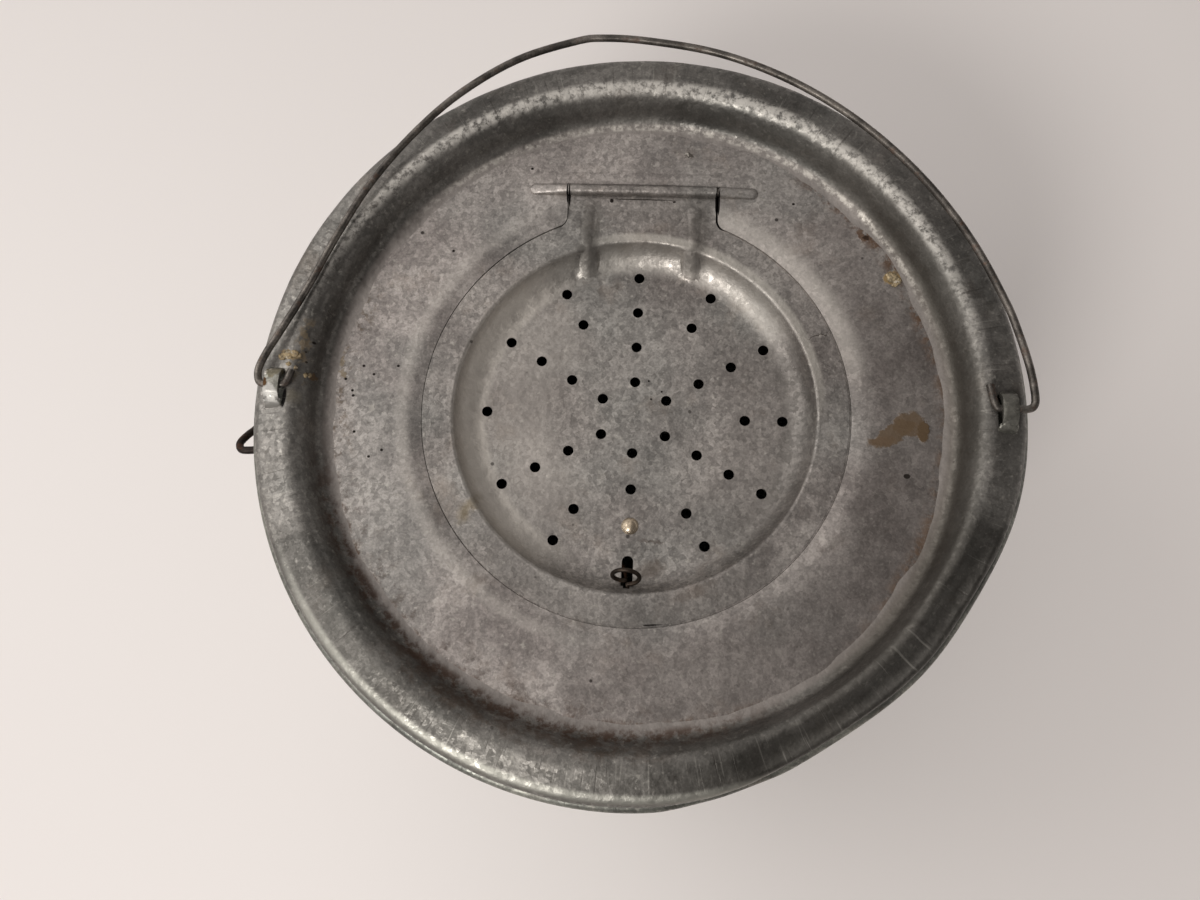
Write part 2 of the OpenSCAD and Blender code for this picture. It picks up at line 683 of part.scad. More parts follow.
// One bent wire: the finger ring, the nose under the deck and the springy tail under the pan.
module latch_wire() {
    ring_r = (ring_d - latch_d) / 2;
    knot = [0, latch_y, nose_z];
    entry = [-0.9, latch_y + 1.2, pan_z + 0.6];
    under = [-0.9, latch_y + 2.2, tail_z];
    side = [tail_x, rivet_y - clip_half - latch_travel, tail_z];
    color(dark_wire) {
        translate(knot) rotate([-ring_lean, 0, 0]) translate([-0.5, 0, ring_r])
            rotate([90, 0, 0]) rotate_extrude() translate([ring_r, 0]) circle(d = latch_d, $fn = 24);
        rod(knot, [0, nose_y + latch_d / 2, nose_z], latch_d);
        rod(knot, entry, latch_d);
        rod(entry, under, latch_d);
        rod(under, side, latch_d);
        rod(side, [tail_x, rivet_y + 2, tail_z], latch_d);
    }
}

pail_wall();
pail_bottom();
rim_wire();
pail_ear_left();
pail_ear_right();
ear_rivets();
pail_bail();
inner_body();
inner_bottom();
deck();
float_collar();
float_wall();
ear_pocket_left();
ear_pocket_right();
hinge_pin();
inner_bail();
door();
latch_rivet();
latch_clip();
latch_wire();
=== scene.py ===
# A weathered two-piece minnow bucket: the floating inner bucket rests in its pail.
# Sizes in the dictionaries are in millimetres unless a note says otherwise.
import math

import bmesh
import bpy
from mathutils import Matrix, Vector


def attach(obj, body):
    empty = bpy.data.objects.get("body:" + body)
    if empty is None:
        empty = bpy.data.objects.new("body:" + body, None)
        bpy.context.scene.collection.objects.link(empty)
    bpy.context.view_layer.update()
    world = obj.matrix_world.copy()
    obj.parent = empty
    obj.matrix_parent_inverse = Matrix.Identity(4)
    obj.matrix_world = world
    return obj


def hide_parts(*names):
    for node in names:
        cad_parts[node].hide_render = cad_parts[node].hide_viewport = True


mm = 0.001
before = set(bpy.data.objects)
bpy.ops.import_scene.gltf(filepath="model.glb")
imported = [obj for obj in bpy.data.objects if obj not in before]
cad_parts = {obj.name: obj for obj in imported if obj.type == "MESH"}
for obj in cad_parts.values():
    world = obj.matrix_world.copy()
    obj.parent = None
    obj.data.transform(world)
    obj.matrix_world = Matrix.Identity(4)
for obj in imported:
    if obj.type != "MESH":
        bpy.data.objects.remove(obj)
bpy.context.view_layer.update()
scene = bpy.context.scene
scene.view_settings.view_transform = "Standard"
print("frame loaded:", len(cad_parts), "nodes")

# the camera looks down on the deck, a little from the front
cameraLook = {
    "place": (7.9, -94.7, 572.0),
    "right": (0.99783, 0.04798, -0.04497),
    "up": (-0.03703, 0.97510, 0.21862),
    "back": (0.05434, -0.21648, 0.97478),
    "lens": 29.72, "sensor": 36, "nearest": 10,
}
bpy.ops.object.camera_add()
camera = bpy.context.object
camera.name = "camera"
turnTo = Matrix((cameraLook["right"], cameraLook["up"], cameraLook["back"])).transposed()
camera.matrix_world = Matrix.Translation(Vector(cameraLook["place"]) * mm) @ turnTo.to_4x4()
camera.data.lens = cameraLook["lens"]
camera.data.sensor_width = cameraLook["sensor"]
camera.data.clip_start = cameraLook["nearest"] * mm
scene.camera = camera


def rgb(red, green, blue):
    # a screen colour, 0 to 255, as the linear colour that a shader takes
    return tuple((c / 255 / 12.92) if c <= 10 else ((c / 255 + 0.055) / 1.055) ** 2.4
                 for c in (red, green, blue)) + (1.0,)


floorLook = {"size": 6.0, "colour": rgb(232, 226, 223), "roughness": 0.55}  # size in metres
bpy.ops.mesh.primitive_plane_add(size=floorLook["size"], location=(0, 0, 0))
floor = bpy.context.object
floor.name = "floor"
floorPaint = bpy.data.materials.new("floorPaint")
floorPaint.use_nodes = True
floorShader = floorPaint.node_tree.nodes["Principled BSDF"]
floorShader.inputs["Base Color"].default_value = floorLook["colour"]
floorShader.inputs["Roughness"].default_value = floorLook["roughness"]
floor.data.materials.append(floorPaint)

lampAim = (0, 0, 0.2)
lampLook = {  # places and sizes in metres
    "key": {"place": (-0.55, -0.95, 1.35), "size": 0.45, "watts": 11.0, "colour": (1.0, 0.98, 0.95)},
    "left": {"place": (-0.85, 0.25, 1.0), "size": 0.8, "watts": 3.5, "colour": (1.0, 0.99, 0.97)},
}
for lampName, look in lampLook.items():
    bpy.ops.object.light_add(type="AREA", location=look["place"])
    lamp = bpy.context.object
    lamp.name = lampName + "Lamp"
    lamp.data.shape = "DISK"
    lamp.data.size = look["size"]
    lamp.data.energy = look["watts"]
    lamp.data.color = look["colour"]
    aim = Vector(lampAim) - Vector(look["place"])
    lamp.rotation_euler = aim.to_track_quat("-Z", "Y").to_euler()

print("camera, floor and lamps placed")


# the next helpers each add a shader node and give what comes out of it
def feed(tree, node, values):
    for key, value in values.items():
        if isinstance(value, bpy.types.NodeSocket):
            tree.links.new(value, node.inputs[key])
        else:
            node.inputs[key].default_value = value
    return node


def calc(tree, operation, first, second=0.0):
    node = tree.nodes.new("ShaderNodeMath")
    node.operation = operation
    return feed(tree, node, {0: first, 1: second}).outputs[0]


def vectorCalc(tree, operation, first, second=(0.0, 0.0, 0.0)):
    node = tree.nodes.new("ShaderNodeVectorMath")
    node.operation = operation
    feed(tree, node, {0: first, 1: second})
    return node.outputs["Value" if operation in ("LENGTH", "DOT_PRODUCT") else "Vector"]


def fade(tree, value, start, end, low=0.0, high=1.0):
    # runs smoothly from low to high as the value goes from start to end
    node = tree.nodes.new("ShaderNodeMapRange")
    node.interpolation_type = "SMOOTHSTEP"
    return feed(tree, node, {"Value": value, "From Min": start, "From Max": end,
                             "To Min": low, "To Max": high}).outputs["Result"]


def tint(tree, amount, below, above, kind="MIX"):
    node = tree.nodes.new("ShaderNodeMix")
    node.data_type = "RGBA"
    node.blend_type = kind
    return feed(tree, node, {0: amount, 6: below, 7: above}).outputs[2]


def cloud(tree, place, scale, detail=3.0, rough=0.55, out="Fac"):
    node = tree.nodes.new("ShaderNodeTexNoise")
    feed(tree, node, {"Vector": place, "Scale": scale, "Detail": detail, "Roughness": rough})
    return node.outputs[out]


def cells(tree, place, scale, share):
    # a tone of its own for each cell, and how far a point is from its cell's middle
    node = tree.nodes.new("ShaderNodeTexVoronoi")
    feed(tree, node, {"Vector": place, "Scale": scale})
    return vectorCalc(tree, "DOT_PRODUCT", node.outputs["Color"], share), node.outputs["Distance"]


roomLook = {  # a fade is given as from, to and the values at both ends
    "bright": rgb(255, 251, 248), "dim": rgb(84, 80, 78), "strength": 0.86,
    "towards": (-0.9, 0.2, 0.4), "towardsFade": (0.05, 0.5),
    "topFade": (0.6, 0.15, 0.0, 0.75), "frontFade": (0.9, 0.3, 0.3, 1.0),
}
world = bpy.data.worlds.new("studio")
scene.world = world
world.use_nodes = True
room = world.node_tree
around = room.nodes.new("ShaderNodeTexCoord").outputs["Generated"]
leaning = vectorCalc(room, "DOT_PRODUCT", around, Vector(roomLook["towards"]).normalized())
nearness = vectorCalc(room, "DOT_PRODUCT", around, (0, -1, 0))
upward = vectorCalc(room, "DOT_PRODUCT", around, (0, 0, 1))
openSide = calc(room, "MAXIMUM", fade(room, leaning, *roomLook["towardsFade"]),
                fade(room, upward, *roomLook["topFade"]))
openSide = calc(room, "MULTIPLY", openSide, fade(room, nearness, *roomLook["frontFade"]))
backdrop = room.nodes["Background"]
room.links.new(tint(room, openSide, roomLook["dim"], roomLook["bright"]), backdrop.inputs["Color"])
backdrop.inputs["Strength"].default_value = roomLook["strength"]
print("room light mixed")

# what a finish, a band and a spot have unless their own entry says otherwise
zincBase = {
    "mottleScale": 28, "hueScale": 17, "coolness": 0.35, "cool": rgb(126, 128, 124),
    "spangleScale": 300, "spangle": 0.12, "flakeScale": 620, "flake": 0.2,
    "grainScale": 1100, "speckle": 0.14,
    "fleckScale": 520, "flecks": 0.4, "fleckColour": rgb(186, 181, 172),
    "dirt": 0.4, "dirtColour": rgb(78, 72, 66),
    "warmScale": 52, "warmth": 0.25, "warmColour": rgb(124, 106, 90),
    "pitScale": 95, "pits": 0.0, "pitColour": rgb(36, 30, 27),
    "tickPale": rgb(176, 172, 164), "tickWander": 22, "tickPaleShare": 0.6, "tickDepth": 0.5,
    "raggedScale": 260, "raggedness": 6.0, "metallic": 0.72,
    "bump": 0.5, "bumpDepth": 0.22, "waveScale": 75, "waves": 3.0, "dimpleScale": 230, "dimples": 0.5,
    "paintedLightAndTone": [], "bands": [], "spots": [], "ticks": None,
}
wireBase = {
    "patchScale": 90, "rustScale": 210, "rustColour": rgb(88, 58, 40), "grainScale": 1500,
    "metallic": 0.8, "bump": 0.45, "bumpDepth": 0.2, "spots": [],
}
bandBase = {
    "soft": 0.6, "fullShare": 0.55, "grainScale": 190, "breakFrom": 0.42, "breakTo": 0.6, "dull": False,
}
spotBase = {"height": 6.0, "turn": 0, "soft": 0.4, "amount": 1.0, "ragged": True, "dull": True}


def ovalMask(tree, place, spotMark):
    # its full amount inside an oval about the mark's place, fading out over its soft edge
    node = tree.nodes.new("ShaderNodeMapping")
    node.vector_type = "TEXTURE"
    size = spotMark["size"] if len(spotMark["size"]) == 3 else (*spotMark["size"], spotMark["height"])
    feed(tree, node, {"Vector": place, "Location": Vector(spotMark["at"]) * mm, "Scale": Vector(size) * mm,
                      "Rotation": (0, 0, math.radians(spotMark["turn"]))})
    away = vectorCalc(tree, "LENGTH", node.outputs["Vector"])
    mask = fade(tree, away, 1 + spotMark["soft"] / 2, 1 - spotMark["soft"] / 2)
    return calc(tree, "MULTIPLY", mask, spotMark["amount"])


def ringMask(tree, grain, band):
    # 1 along a band round the bucket, and only within its spread of its own azimuth
    half = band["width"] * mm / 2
    off = calc(tree, "ABSOLUTE", calc(tree, "SUBTRACT", grain["radius"], band["radius"] * mm))
    across = fade(tree, off, half * (1 + band["soft"]), half * (1 - band["soft"]))
    if "towards" not in band:
        return across
    angle, spread = math.radians(band["towards"]), math.radians(band["spread"])
    along = vectorCalc(tree, "DOT_PRODUCT", grain["heading"], (math.cos(angle), math.sin(angle), 0))
    return calc(tree, "MULTIPLY", across,
                fade(tree, along, math.cos(spread), math.cos(spread * band["fullShare"])))


def zincGrain(tree, look):
    # the patterns that a zinc finish is mixed from
    place = tree.nodes.new("ShaderNodeTexCoord").outputs["Object"]
    wander = vectorCalc(tree, "SUBTRACT", cloud(tree, place, look["raggedScale"], 4, 0.65, "Color"),
                        (0.5, 0.5, 0.5))
    wander = vectorCalc(tree, "MULTIPLY", wander, (look["raggedness"] * mm,) * 3)
    ragged = vectorCalc(tree, "ADD", place, wander)
    flat = vectorCalc(tree, "MULTIPLY", place, (1, 1, 0))
    return {
        "place": place, "ragged": ragged,
        "radius": vectorCalc(tree, "LENGTH", flat), "heading": vectorCalc(tree, "NORMALIZE", flat),
        "mottle": cloud(tree, place, look["mottleScale"], 5, 0.6),
        "spangle": cells(tree, ragged, look["spangleScale"], (0.6, 0.4, 0.0))[0],
        "flake": cells(tree, place, look["flakeScale"], (0.0, 0.5, 0.5))[0],
        "speckle": cloud(tree, place, look["grainScale"], 3, 0.6),
    }


def zincColour(tree, look, grain):
    # mottling, a cool cast, three sizes of grain, pale flecks, dirt and a warm cast
    place = grain["place"]
    colour = tint(tree, fade(tree, grain["mottle"], 0.34, 0.66), look["dark"], look["light"])
    hue = cloud(tree, place, look["hueScale"], 2)
    colour = tint(tree, fade(tree, hue, 0.45, 0.7, 0, look["coolness"]), colour, look["cool"])
    for pattern, start, darkShare in (("spangle", 0.1, 1), ("flake", 0.15, 0.7), ("speckle", 0.36, 1)):
        gain = look[pattern]
        tone = fade(tree, grain[pattern], start, 1 - start, 1 - gain * darkShare, 1 + gain)
        colour = tint(tree, 1.0, colour, tone, "MULTIPLY")
    flecks = cloud(tree, place, look["fleckScale"], 2, 0.5)
    colour = tint(tree, fade(tree, flecks, 0.6, 0.74, 0, look["flecks"]), colour, look["fleckColour"])
    colour = tint(tree, fade(tree, flecks, 0.34, 0.24, 0, look["dirt"]), colour, look["dirtColour"])
    warm = cloud(tree, place, look["warmScale"], 4, 0.6)
    return tint(tree, fade(tree, warm, 0.55, 0.75, 0, look["warmth"]), colour, look["warmColour"])


def paintStainsLightAndShade(tree, look, grain, colour):
    # gives the colour with its stains, its wear and its painted light and shade, and how far the marks take
    # the shine away
    dulling = 0.0
    # painted shade and painted highlights, with a few plain shifts of tone
    for lightAndTone in look["paintedLightAndTone"]:  # darker or paler all along a band
        mask = calc(tree, "MULTIPLY", ringMask(tree, grain, lightAndTone), lightAndTone["amount"])
        colour = tint(tree, mask, colour, lightAndTone["colour"])
    for band in look["bands"]:  # broken lines of rust and wear, and broken painted highlights, that follow a corner
        broken = fade(tree, cloud(tree, grain["place"], band["grainScale"], 5, 0.7),
                      band["breakFrom"], band["breakTo"])
        mask = calc(tree, "MULTIPLY", ringMask(tree, grain, band), broken)
        mask = calc(tree, "MULTIPLY", mask, band["amount"])
        colour = tint(tree, mask, colour, band["colour"])
        if band["dull"]:
            dulling = calc(tree, "MAXIMUM", dulling, mask)
    for spotMark in look["spots"]:
        mask = ovalMask(tree, grain["ragged" if spotMark["ragged"] else "place"], spotMark)
        colour = tint(tree, mask, colour, spotMark["colour"])
        if spotMark["dull"]:
            dulling = calc(tree, "MAXIMUM", dulling, mask)
    return colour, dulling


def pitZinc(tree, look, grain, colour):
    # small dark holes in the zinc, in a few cells of many
    tone, distance = cells(tree, grain["place"], look["pitScale"], (1, 0, 0))
    pit = calc(tree, "MULTIPLY", fade(tree, tone, 0.80, 0.84), fade(tree, distance, 0.085, 0.05))
    return tint(tree, calc(tree, "MULTIPLY", pit, look["pits"]), colour, look["pitColour"])


def tickZinc(tree, look, grain, colour):
    # short marks across the crest, where the collar was drawn down; gives the dark ones too
    ticks = look["ticks"]
    fan = vectorCalc(tree, "SCALE", grain["heading"])
    fan.node.inputs["Scale"].default_value = ticks["count"]
    wander = vectorCalc(tree, "MULTIPLY", grain["place"], (look["tickWander"],) * 3)
    fine = vectorCalc(tree, "ADD", fan, wander)
    marks = cloud(tree, fine, 1.0, 3, 0.6)
    inBand = ringMask(tree, grain, ticks)
    dark = calc(tree, "MULTIPLY", fade(tree, marks, 0.58, 0.7), inBand)
    pale = calc(tree, "MULTIPLY", fade(tree, marks, 0.4, 0.3), inBand)
    colour = tint(tree, calc(tree, "MULTIPLY", dark, ticks["amount"]), colour, ticks["colour"])
    paleAmount = ticks["amount"] * look["tickPaleShare"]
    colour = tint(tree, calc(tree, "MULTIPLY", pale, paleAmount), colour, look["tickPale"])
    return colour, dark


def addUp(tree, terms):
    # the sum of values, each times its own share
    total = None
    for value, share in terms:
        term = calc(tree, "MULTIPLY", value, share)
        total = term if total is None else calc(tree, "ADD", total, term)
    return total


def setBump(tree, shader, height, look):
    bump = tree.nodes.new("ShaderNodeBump")
    feed(tree, bump, {"Height": height, "Strength": look["bump"], "Distance": look["bumpDepth"] * mm})
    tree.links.new(bump.outputs["Normal"], shader.inputs["Normal"])


def newFinish(name, metallic):
    finish = bpy.data.materials.new(name)
    finish.use_nodes = True
    shader = finish.node_tree.nodes["Principled BSDF"]
    shader.inputs["Metallic"].default_value = metallic
    return finish, finish.node_tree, shader


def zincFinish(name, ownLook):
    # galvanized sheet, with the stains, pits, marks and painted light and shade of its own piece
    look = {**zincBase, **ownLook}
    finish, tree, shader = newFinish(name, look["metallic"])
    grain = zincGrain(tree, look)
    colour, dulling = paintStainsLightAndShade(tree, look, grain, zincColour(tree, look, grain))
    if look["pits"] > 0:
        colour = pitZinc(tree, look, grain, colour)
    relief = [(grain["speckle"], 0.35), (grain["spangle"], 0.12), (grain["flake"], 0.35), (dulling, 0.8),
              (cloud(tree, grain["place"], look["waveScale"], 3), look["waves"]),
              (cloud(tree, grain["place"], look["dimpleScale"], 3, 0.5), look["dimples"])]
    if look["ticks"]:
        colour, dark = tickZinc(tree, look, grain, colour)
        relief.append((dark, -look["tickDepth"]))
    tree.links.new(colour, shader.inputs["Base Color"])
    rough = look["roughness"]
    gloss = calc(tree, "ADD", fade(tree, grain["spangle"], 0.0, 1.0, -0.05, 0.05),
                 fade(tree, grain["mottle"], 0.3, 0.7, rough - 0.05, rough + 0.06))
    gloss = calc(tree, "ADD", gloss, fade(tree, grain["flake"], 0.2, 0.8, 0.07, -0.08))
    gloss = calc(tree, "ADD", gloss, calc(tree, "MULTIPLY", dulling, 0.25))
    tree.links.new(gloss, shader.inputs["Roughness"])
    setBump(tree, shader, addUp(tree, relief), look)
    return finish


def wireFinish(name, ownLook):
    # drawn steel wire, dull and browned, with bare glints along it
    look = {**wireBase, **ownLook}
    finish, tree, shader = newFinish(name, look["metallic"])
    place = tree.nodes.new("ShaderNodeTexCoord").outputs["Object"]
    patches = cloud(tree, place, look["patchScale"], 4, 0.65)
    colour = tint(tree, fade(tree, patches, 0.38, 0.62), look["dark"], look["light"])
    rust = cloud(tree, place, look["rustScale"], 5, 0.7)
    colour = tint(tree, fade(tree, rust, 0.54, 0.66, 0, look["rust"]), colour, look["rustColour"])
    grain = cloud(tree, place, look["grainScale"], 3, 0.7)
    colour = tint(tree, 1.0, colour, fade(tree, grain, 0.35, 0.65, 0.75, 1.25), "MULTIPLY")
    for spotMark in look["spots"]:
        colour = tint(tree, ovalMask(tree, place, spotMark), colour, spotMark["colour"])
    tree.links.new(colour, shader.inputs["Base Color"])
    gloss = fade(tree, rust, 0.4, 0.65, look["roughness"], look["roughness"] + 0.25)
    tree.links.new(gloss, shader.inputs["Roughness"])
    setBump(tree, shader, addUp(tree, [(grain, 0.5), (rust, 1.0)]), look)
    return finish


def selectOnly(piece):
    bpy.ops.object.select_all(action="DESELECT")
    piece.select_set(True)
    bpy.context.view_layer.objects.active = piece


def startEdit(piece):
    # the piece alone is active and in edit mode, with nothing picked
    selectOnly(piece)
    bpy.ops.object.mode_set(mode="EDIT")
    bpy.ops.mesh.select_mode(type="VERT")
    bpy.ops.mesh.select_all(action="DESELECT")


def endEdit():
    bpy.ops.object.mode_set(mode="OBJECT")


def faceOutwards():
    bpy.ops.mesh.select_all(action="SELECT")
    bpy.ops.mesh.normals_make_consistent(inside=False)


def smoothFaces(angle):
    # edges sharper than the angle, in degrees, stay crisp
    bpy.ops.object.shade_smooth_by_angle(angle=math.radians(angle))


def pick(piece, wanted):
    # picks the points whose place, in millimetres, is wanted
    mesh = bmesh.from_edit_mesh(piece.data)
    for point in mesh.verts:
        point.select_set(bool(wanted(point.co / mm)))
    mesh.select_flush(True)
    bmesh.update_edit_mesh(piece.data)


def nudge(piece, wanted, move, reach):
    # pushes what is picked, and draws its surroundings along with it
    pick(piece, wanted)
    bpy.ops.transform.translate(value=Vector(move) * mm, use_proportional_edit=True,
                                proportional_edit_falloff="SMOOTH", proportional_size=reach * mm)


def applyModifier(piece, kind, **settings):
    selectOnly(piece)
    modifier = piece.modifiers.new(kind.lower(), kind)
    for key, value in settings.items():
        setattr(modifier, key, value)
    bpy.ops.object.modifier_apply(modifier=modifier.name)


def azimuth(place):
    return math.degrees(math.atan2(place.y, place.x)) % 360


rimDent = {
    # each bump is an azimuth, how deep it goes there and how many degrees it spreads
    "bumps": [(304, 5.6, 18), (331, 3.6, 14)],
    # how much of the depth goes inwards and downwards, by radius
    "inward": [(110, 0), (117.5, -0.22), (120, 0), (125, 0.42), (132, 0.8), (137, 1), (150, 1)],
    "down": [(110, 0), (120, 0.05), (124, 0.24), (128, 0.36), (133, 0.58), (136, 0.48), (138.5, 0.2),
             (141, 0.04), (150, 0)],
    "wallTop": 212, "wallFade": 110,
}


def readOff(table, value):
    for (a, low), (b, high) in zip(table, table[1:]):
        if a <= value <= b:
            return low + (high - low) * (value - a) / (b - a)
    return table[0][1] if value < table[0][0] else table[-1][1]


def pressDent(piece, wall=False):
    # the knock that flattened the near right of the rim; on a wall it fades out downwards
    top, fadeLength = rimDent["wallTop"], rimDent["wallFade"]
    for point in piece.data.vertices:
        place = point.co / mm
        x, y, z = place
        out = math.hypot(x, y)
        depth = sum(size * math.exp(-((azimuth(place) - middle) / spread) ** 2)
                    for middle, size, spread in rimDent["bumps"])
        if wall:
            depth *= max(0.0, 1 - (top - min(z, top)) / fadeLength) ** 2
            share, drop = 1.0, 0.0
        else:
            share, drop = readOff(rimDent["inward"], out), readOff(rimDent["down"], out)
        shrink = 1 - depth * share / out
        point.co = Vector((x * shrink, y * shrink, z - depth * drop)) * mm


def turnShape(name, section, steps, closed=True):
    # a circle drawn out ring by ring along the section, given as (radius, height)
    bpy.ops.object.select_all(action="DESELECT")
    radius, height = section[0]
    bpy.ops.mesh.primitive_circle_add(vertices=steps, radius=radius * mm, location=(0, 0, height * mm))
    bpy.ops.object.transform_apply(location=True, rotation=False, scale=False)
    piece = bpy.context.object
    piece.name = name
    bpy.ops.object.mode_set(mode="EDIT")
    bpy.ops.mesh.select_all(action="SELECT")
    for (r0, z0), (r1, z1) in zip(section, section[1:]):
        bpy.ops.mesh.extrude_region_move(TRANSFORM_OT_translate={"value": (0, 0, (z1 - z0) * mm)})
        bpy.ops.transform.resize(value=(r1 / r0, r1 / r0, 1), center_override=(0, 0, z1 * mm))
    if closed:
        bpy.ops.mesh.select_non_manifold()
        bpy.ops.mesh.bridge_edge_loops()
    faceOutwards()
    endEdit()
    return piece


def faceUp(piece):
    # an open sheet is turned so that its highest faces look upwards
    top = max(piece.data.polygons, key=lambda face: face.center.z)
    if top.normal.z < 0:
        startEdit(piece)
        bpy.ops.mesh.select_all(action="SELECT")
        bpy.ops.mesh.flip_normals()
        endEdit()


def arcPoints(centre, radius, start, end, parts):
    angles = [math.radians(start + (end - start) * i / parts) for i in range(parts + 1)]
    return [(centre[0] + radius * math.cos(a), centre[1] + radius * math.sin(a)) for a in angles]


def smoothRoute(points, parts):
    # the same easy curve through every point that the solids follow
    route = []
    last = len(points) - 1
    for i in range(last):
        a, b, c, d = (Vector(points[max(0, min(last, i + k))]) for k in (-1, 0, 1, 2))
        for j in range(parts):
            t = j / parts
            route.append((2 * b + (c - a) * t + (2 * a - 5 * b + 4 * c - d) * t * t
                          + (3 * b - a - 3 * c + d) * t ** 3) / 2)
    return route + [Vector(points[last])]


def bendWire(name, route, thickness):
    # a round wire along a route in millimetres, closed at both ends
    line = bpy.data.curves.new(name, "CURVE")
    line.dimensions = "3D"
    line.bevel_depth = thickness * mm / 2
    line.bevel_resolution = 5
    line.use_fill_caps = True
    spline = line.splines.new("POLY")
    spline.points.add(len(route) - 1)
    for point, place in zip(spline.points, route):
        point.co = (*(Vector(place) * mm), 1)
    wire = bpy.data.objects.new(name, line)
    scene.collection.objects.link(wire)
    selectOnly(wire)
    bpy.ops.object.convert(target="MESH")
    wire = bpy.context.object
    startEdit(wire)
    bpy.ops.mesh.select_all(action="SELECT")
    bpy.ops.mesh.remove_doubles(threshold=1e-6)
    faceOutwards()
    endEdit()
    smoothFaces(50)
    return wire


def roundedCopy(node, name, angle=32):
    # a CAD part with its triangles joined up and its round faces made smooth
    piece = bpy.data.objects.new(name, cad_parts[node].data.copy())
    scene.collection.objects.link(piece)
    startEdit(piece)
    bpy.ops.mesh.select_all(action="SELECT")
    bpy.ops.mesh.remove_doubles(threshold=2e-6)
    endEdit()
    bpy.ops.mesh.customdata_custom_splitnormals_clear()
    smoothFaces(angle)
    applyModifier(piece, "WEIGHTED_NORMAL", keep_sharp=True)
    return piece


def finishPiece(piece, body, material, slot, *nodes):
    piece.data.materials.clear()
    piece.data.materials.append(material)
    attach(piece, body)
    if nodes:
        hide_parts(*nodes)


def cloudTexture(name, size):
    texture = bpy.data.textures.new(name, "CLOUDS")
    texture.noise_scale = size * mm
    texture.noise_depth = 2
    return texture


def spot(at, size, colour, **more):
    # a mark at its own place, mostly a stain, in a few places painted shade and painted highlights; two sizes
    # make an oval in plan, and a third is its height
    return {**spotBase, "at": at, "size": size, "colour": colour, **more}


def ring(radius, width, amount, colour, **more):
    # a band round the bucket, or only about the azimuth that it is given with its spread
    return {**bandBase, "radius": radius, "width": width, "amount": amount, "colour": colour, **more}


rustBrown = rgb(96, 70, 50)
rustDark = rgb(62, 46, 36)
tan = rgb(150, 128, 92)
deckSpecks = [(-103.0, 13.4), (-89.8, 13.8), (-98.8, 10.2), (-106.4, 3.6), (-105.9, 1.6), (-97.7, -21.6),
              (-93.1, -18.9), (-104.1, -12.3), (-109.4, 8.0), (-72.5, 61.0), (-44.0, 96.5), (58.0, 84.0)]
doorSpecks = [(4.9, 14.6), (10.0, 10.5), (6.1, 7.4)]
deckLook = {
    "dark": rgb(125, 118, 114), "light": rgb(157, 150, 145), "roughness": 0.46, "pits": 0.85,
    "paintedLightAndTone": [
        ring(117.5, 7, 0.5, rgb(96, 86, 78)),
        # painted shade: darker over the right of the deck
        ring(102, 36, 0.44, rgb(62, 56, 52), towards=-28, spread=85),
        # painted highlights on the bevel round the door, on the left and on the far right
        ring(87, 5, 0.22, rgb(190, 184, 176), towards=190, spread=85),
        ring(83.5, 8, 0.35, rgb(190, 184, 176), towards=44, spread=40),
    ],
    "bands": [
        ring(116, 7, 0.8, rustBrown, towards=242, spread=60, dull=True),
        ring(113, 14, 0.45, rustDark, towards=235, spread=55, breakFrom=0.5, breakTo=0.62),
        ring(115, 8, 0.7, rgb(104, 82, 64), towards=0, spread=50, dull=True),
        ring(114, 9, 0.75, rustBrown, towards=35, spread=26, breakFrom=0.46, breakTo=0.6, dull=True),
        ring(112, 11, 0.55, rgb(100, 84, 66), towards=176, spread=24, breakFrom=0.5, breakTo=0.64,
             grainScale=330, dull=True),
    ],
    "spots": [
        spot((100.4, -2.0, 217), (5.6, 4.8), rgb(104, 86, 66), turn=35, soft=0.22, amount=0.85),
        spot((95.2, -5.6, 217), (8.4, 3.4), rgb(104, 86, 66), turn=33, soft=0.22, amount=0.85),
        spot((105.2, -4.6, 217), (2.0, 4.4), rgb(98, 80, 60), turn=8, soft=0.3),
        spot((90.6, -8.6, 217), (4.8, 1.7), rgb(108, 90, 72), turn=12, soft=0.5),
        spot((95.3, 54.5, 217.5), (3.4, 2.6), tan, turn=30, soft=0.4),
        spot((84.1, 71.9, 217), (3.0, 1.5), rustBrown, turn=120, amount=0.8),
        spot((86.3, 70.7, 217), (1.3, 1.3), rustDark),
        # painted shadow: black in the slits beside the hinge knuckle
        spot((-29.4, 86.5, 217.5), (0.42, 4.2, 3), rgb(20, 17, 15), ragged=False, soft=0.3),
        spot((29.4, 84.5, 217.5), (0.42, 6.0, 3), rgb(20, 17, 15), ragged=False, soft=0.3),
        spot((0, 90.4, 217), (31, 0.4, 3), rgb(56, 50, 46), ragged=False, amount=0.7),
        spot((17.0, 103.5, 217), (1.9, 1.2), rgb(88, 82, 76), soft=0.5),
        spot((16.2, 103.9, 217), (0.8, 0.7), rgb(178, 172, 164), soft=0.5),
        spot((-111.4, 15.4, 217), (1.0, 2.0), rgb(132, 118, 96), amount=0.6),
        spot((-110.9, 10.1, 217), (1.0, 1.6), rgb(132, 118, 96), amount=0.6),
        spot((-98, -3, 217), (2.2, 0.5), rgb(170, 165, 158), turn=70, amount=0.6),
        spot((99.1, -21.4, 217), (1.2, 0.9), rgb(40, 34, 30), ragged=False),
    ] + [
        spot((x, y, 217), (0.55, 0.5), rgb(34, 28, 25), ragged=False)
        for x, y in deckSpecks
    ],
}
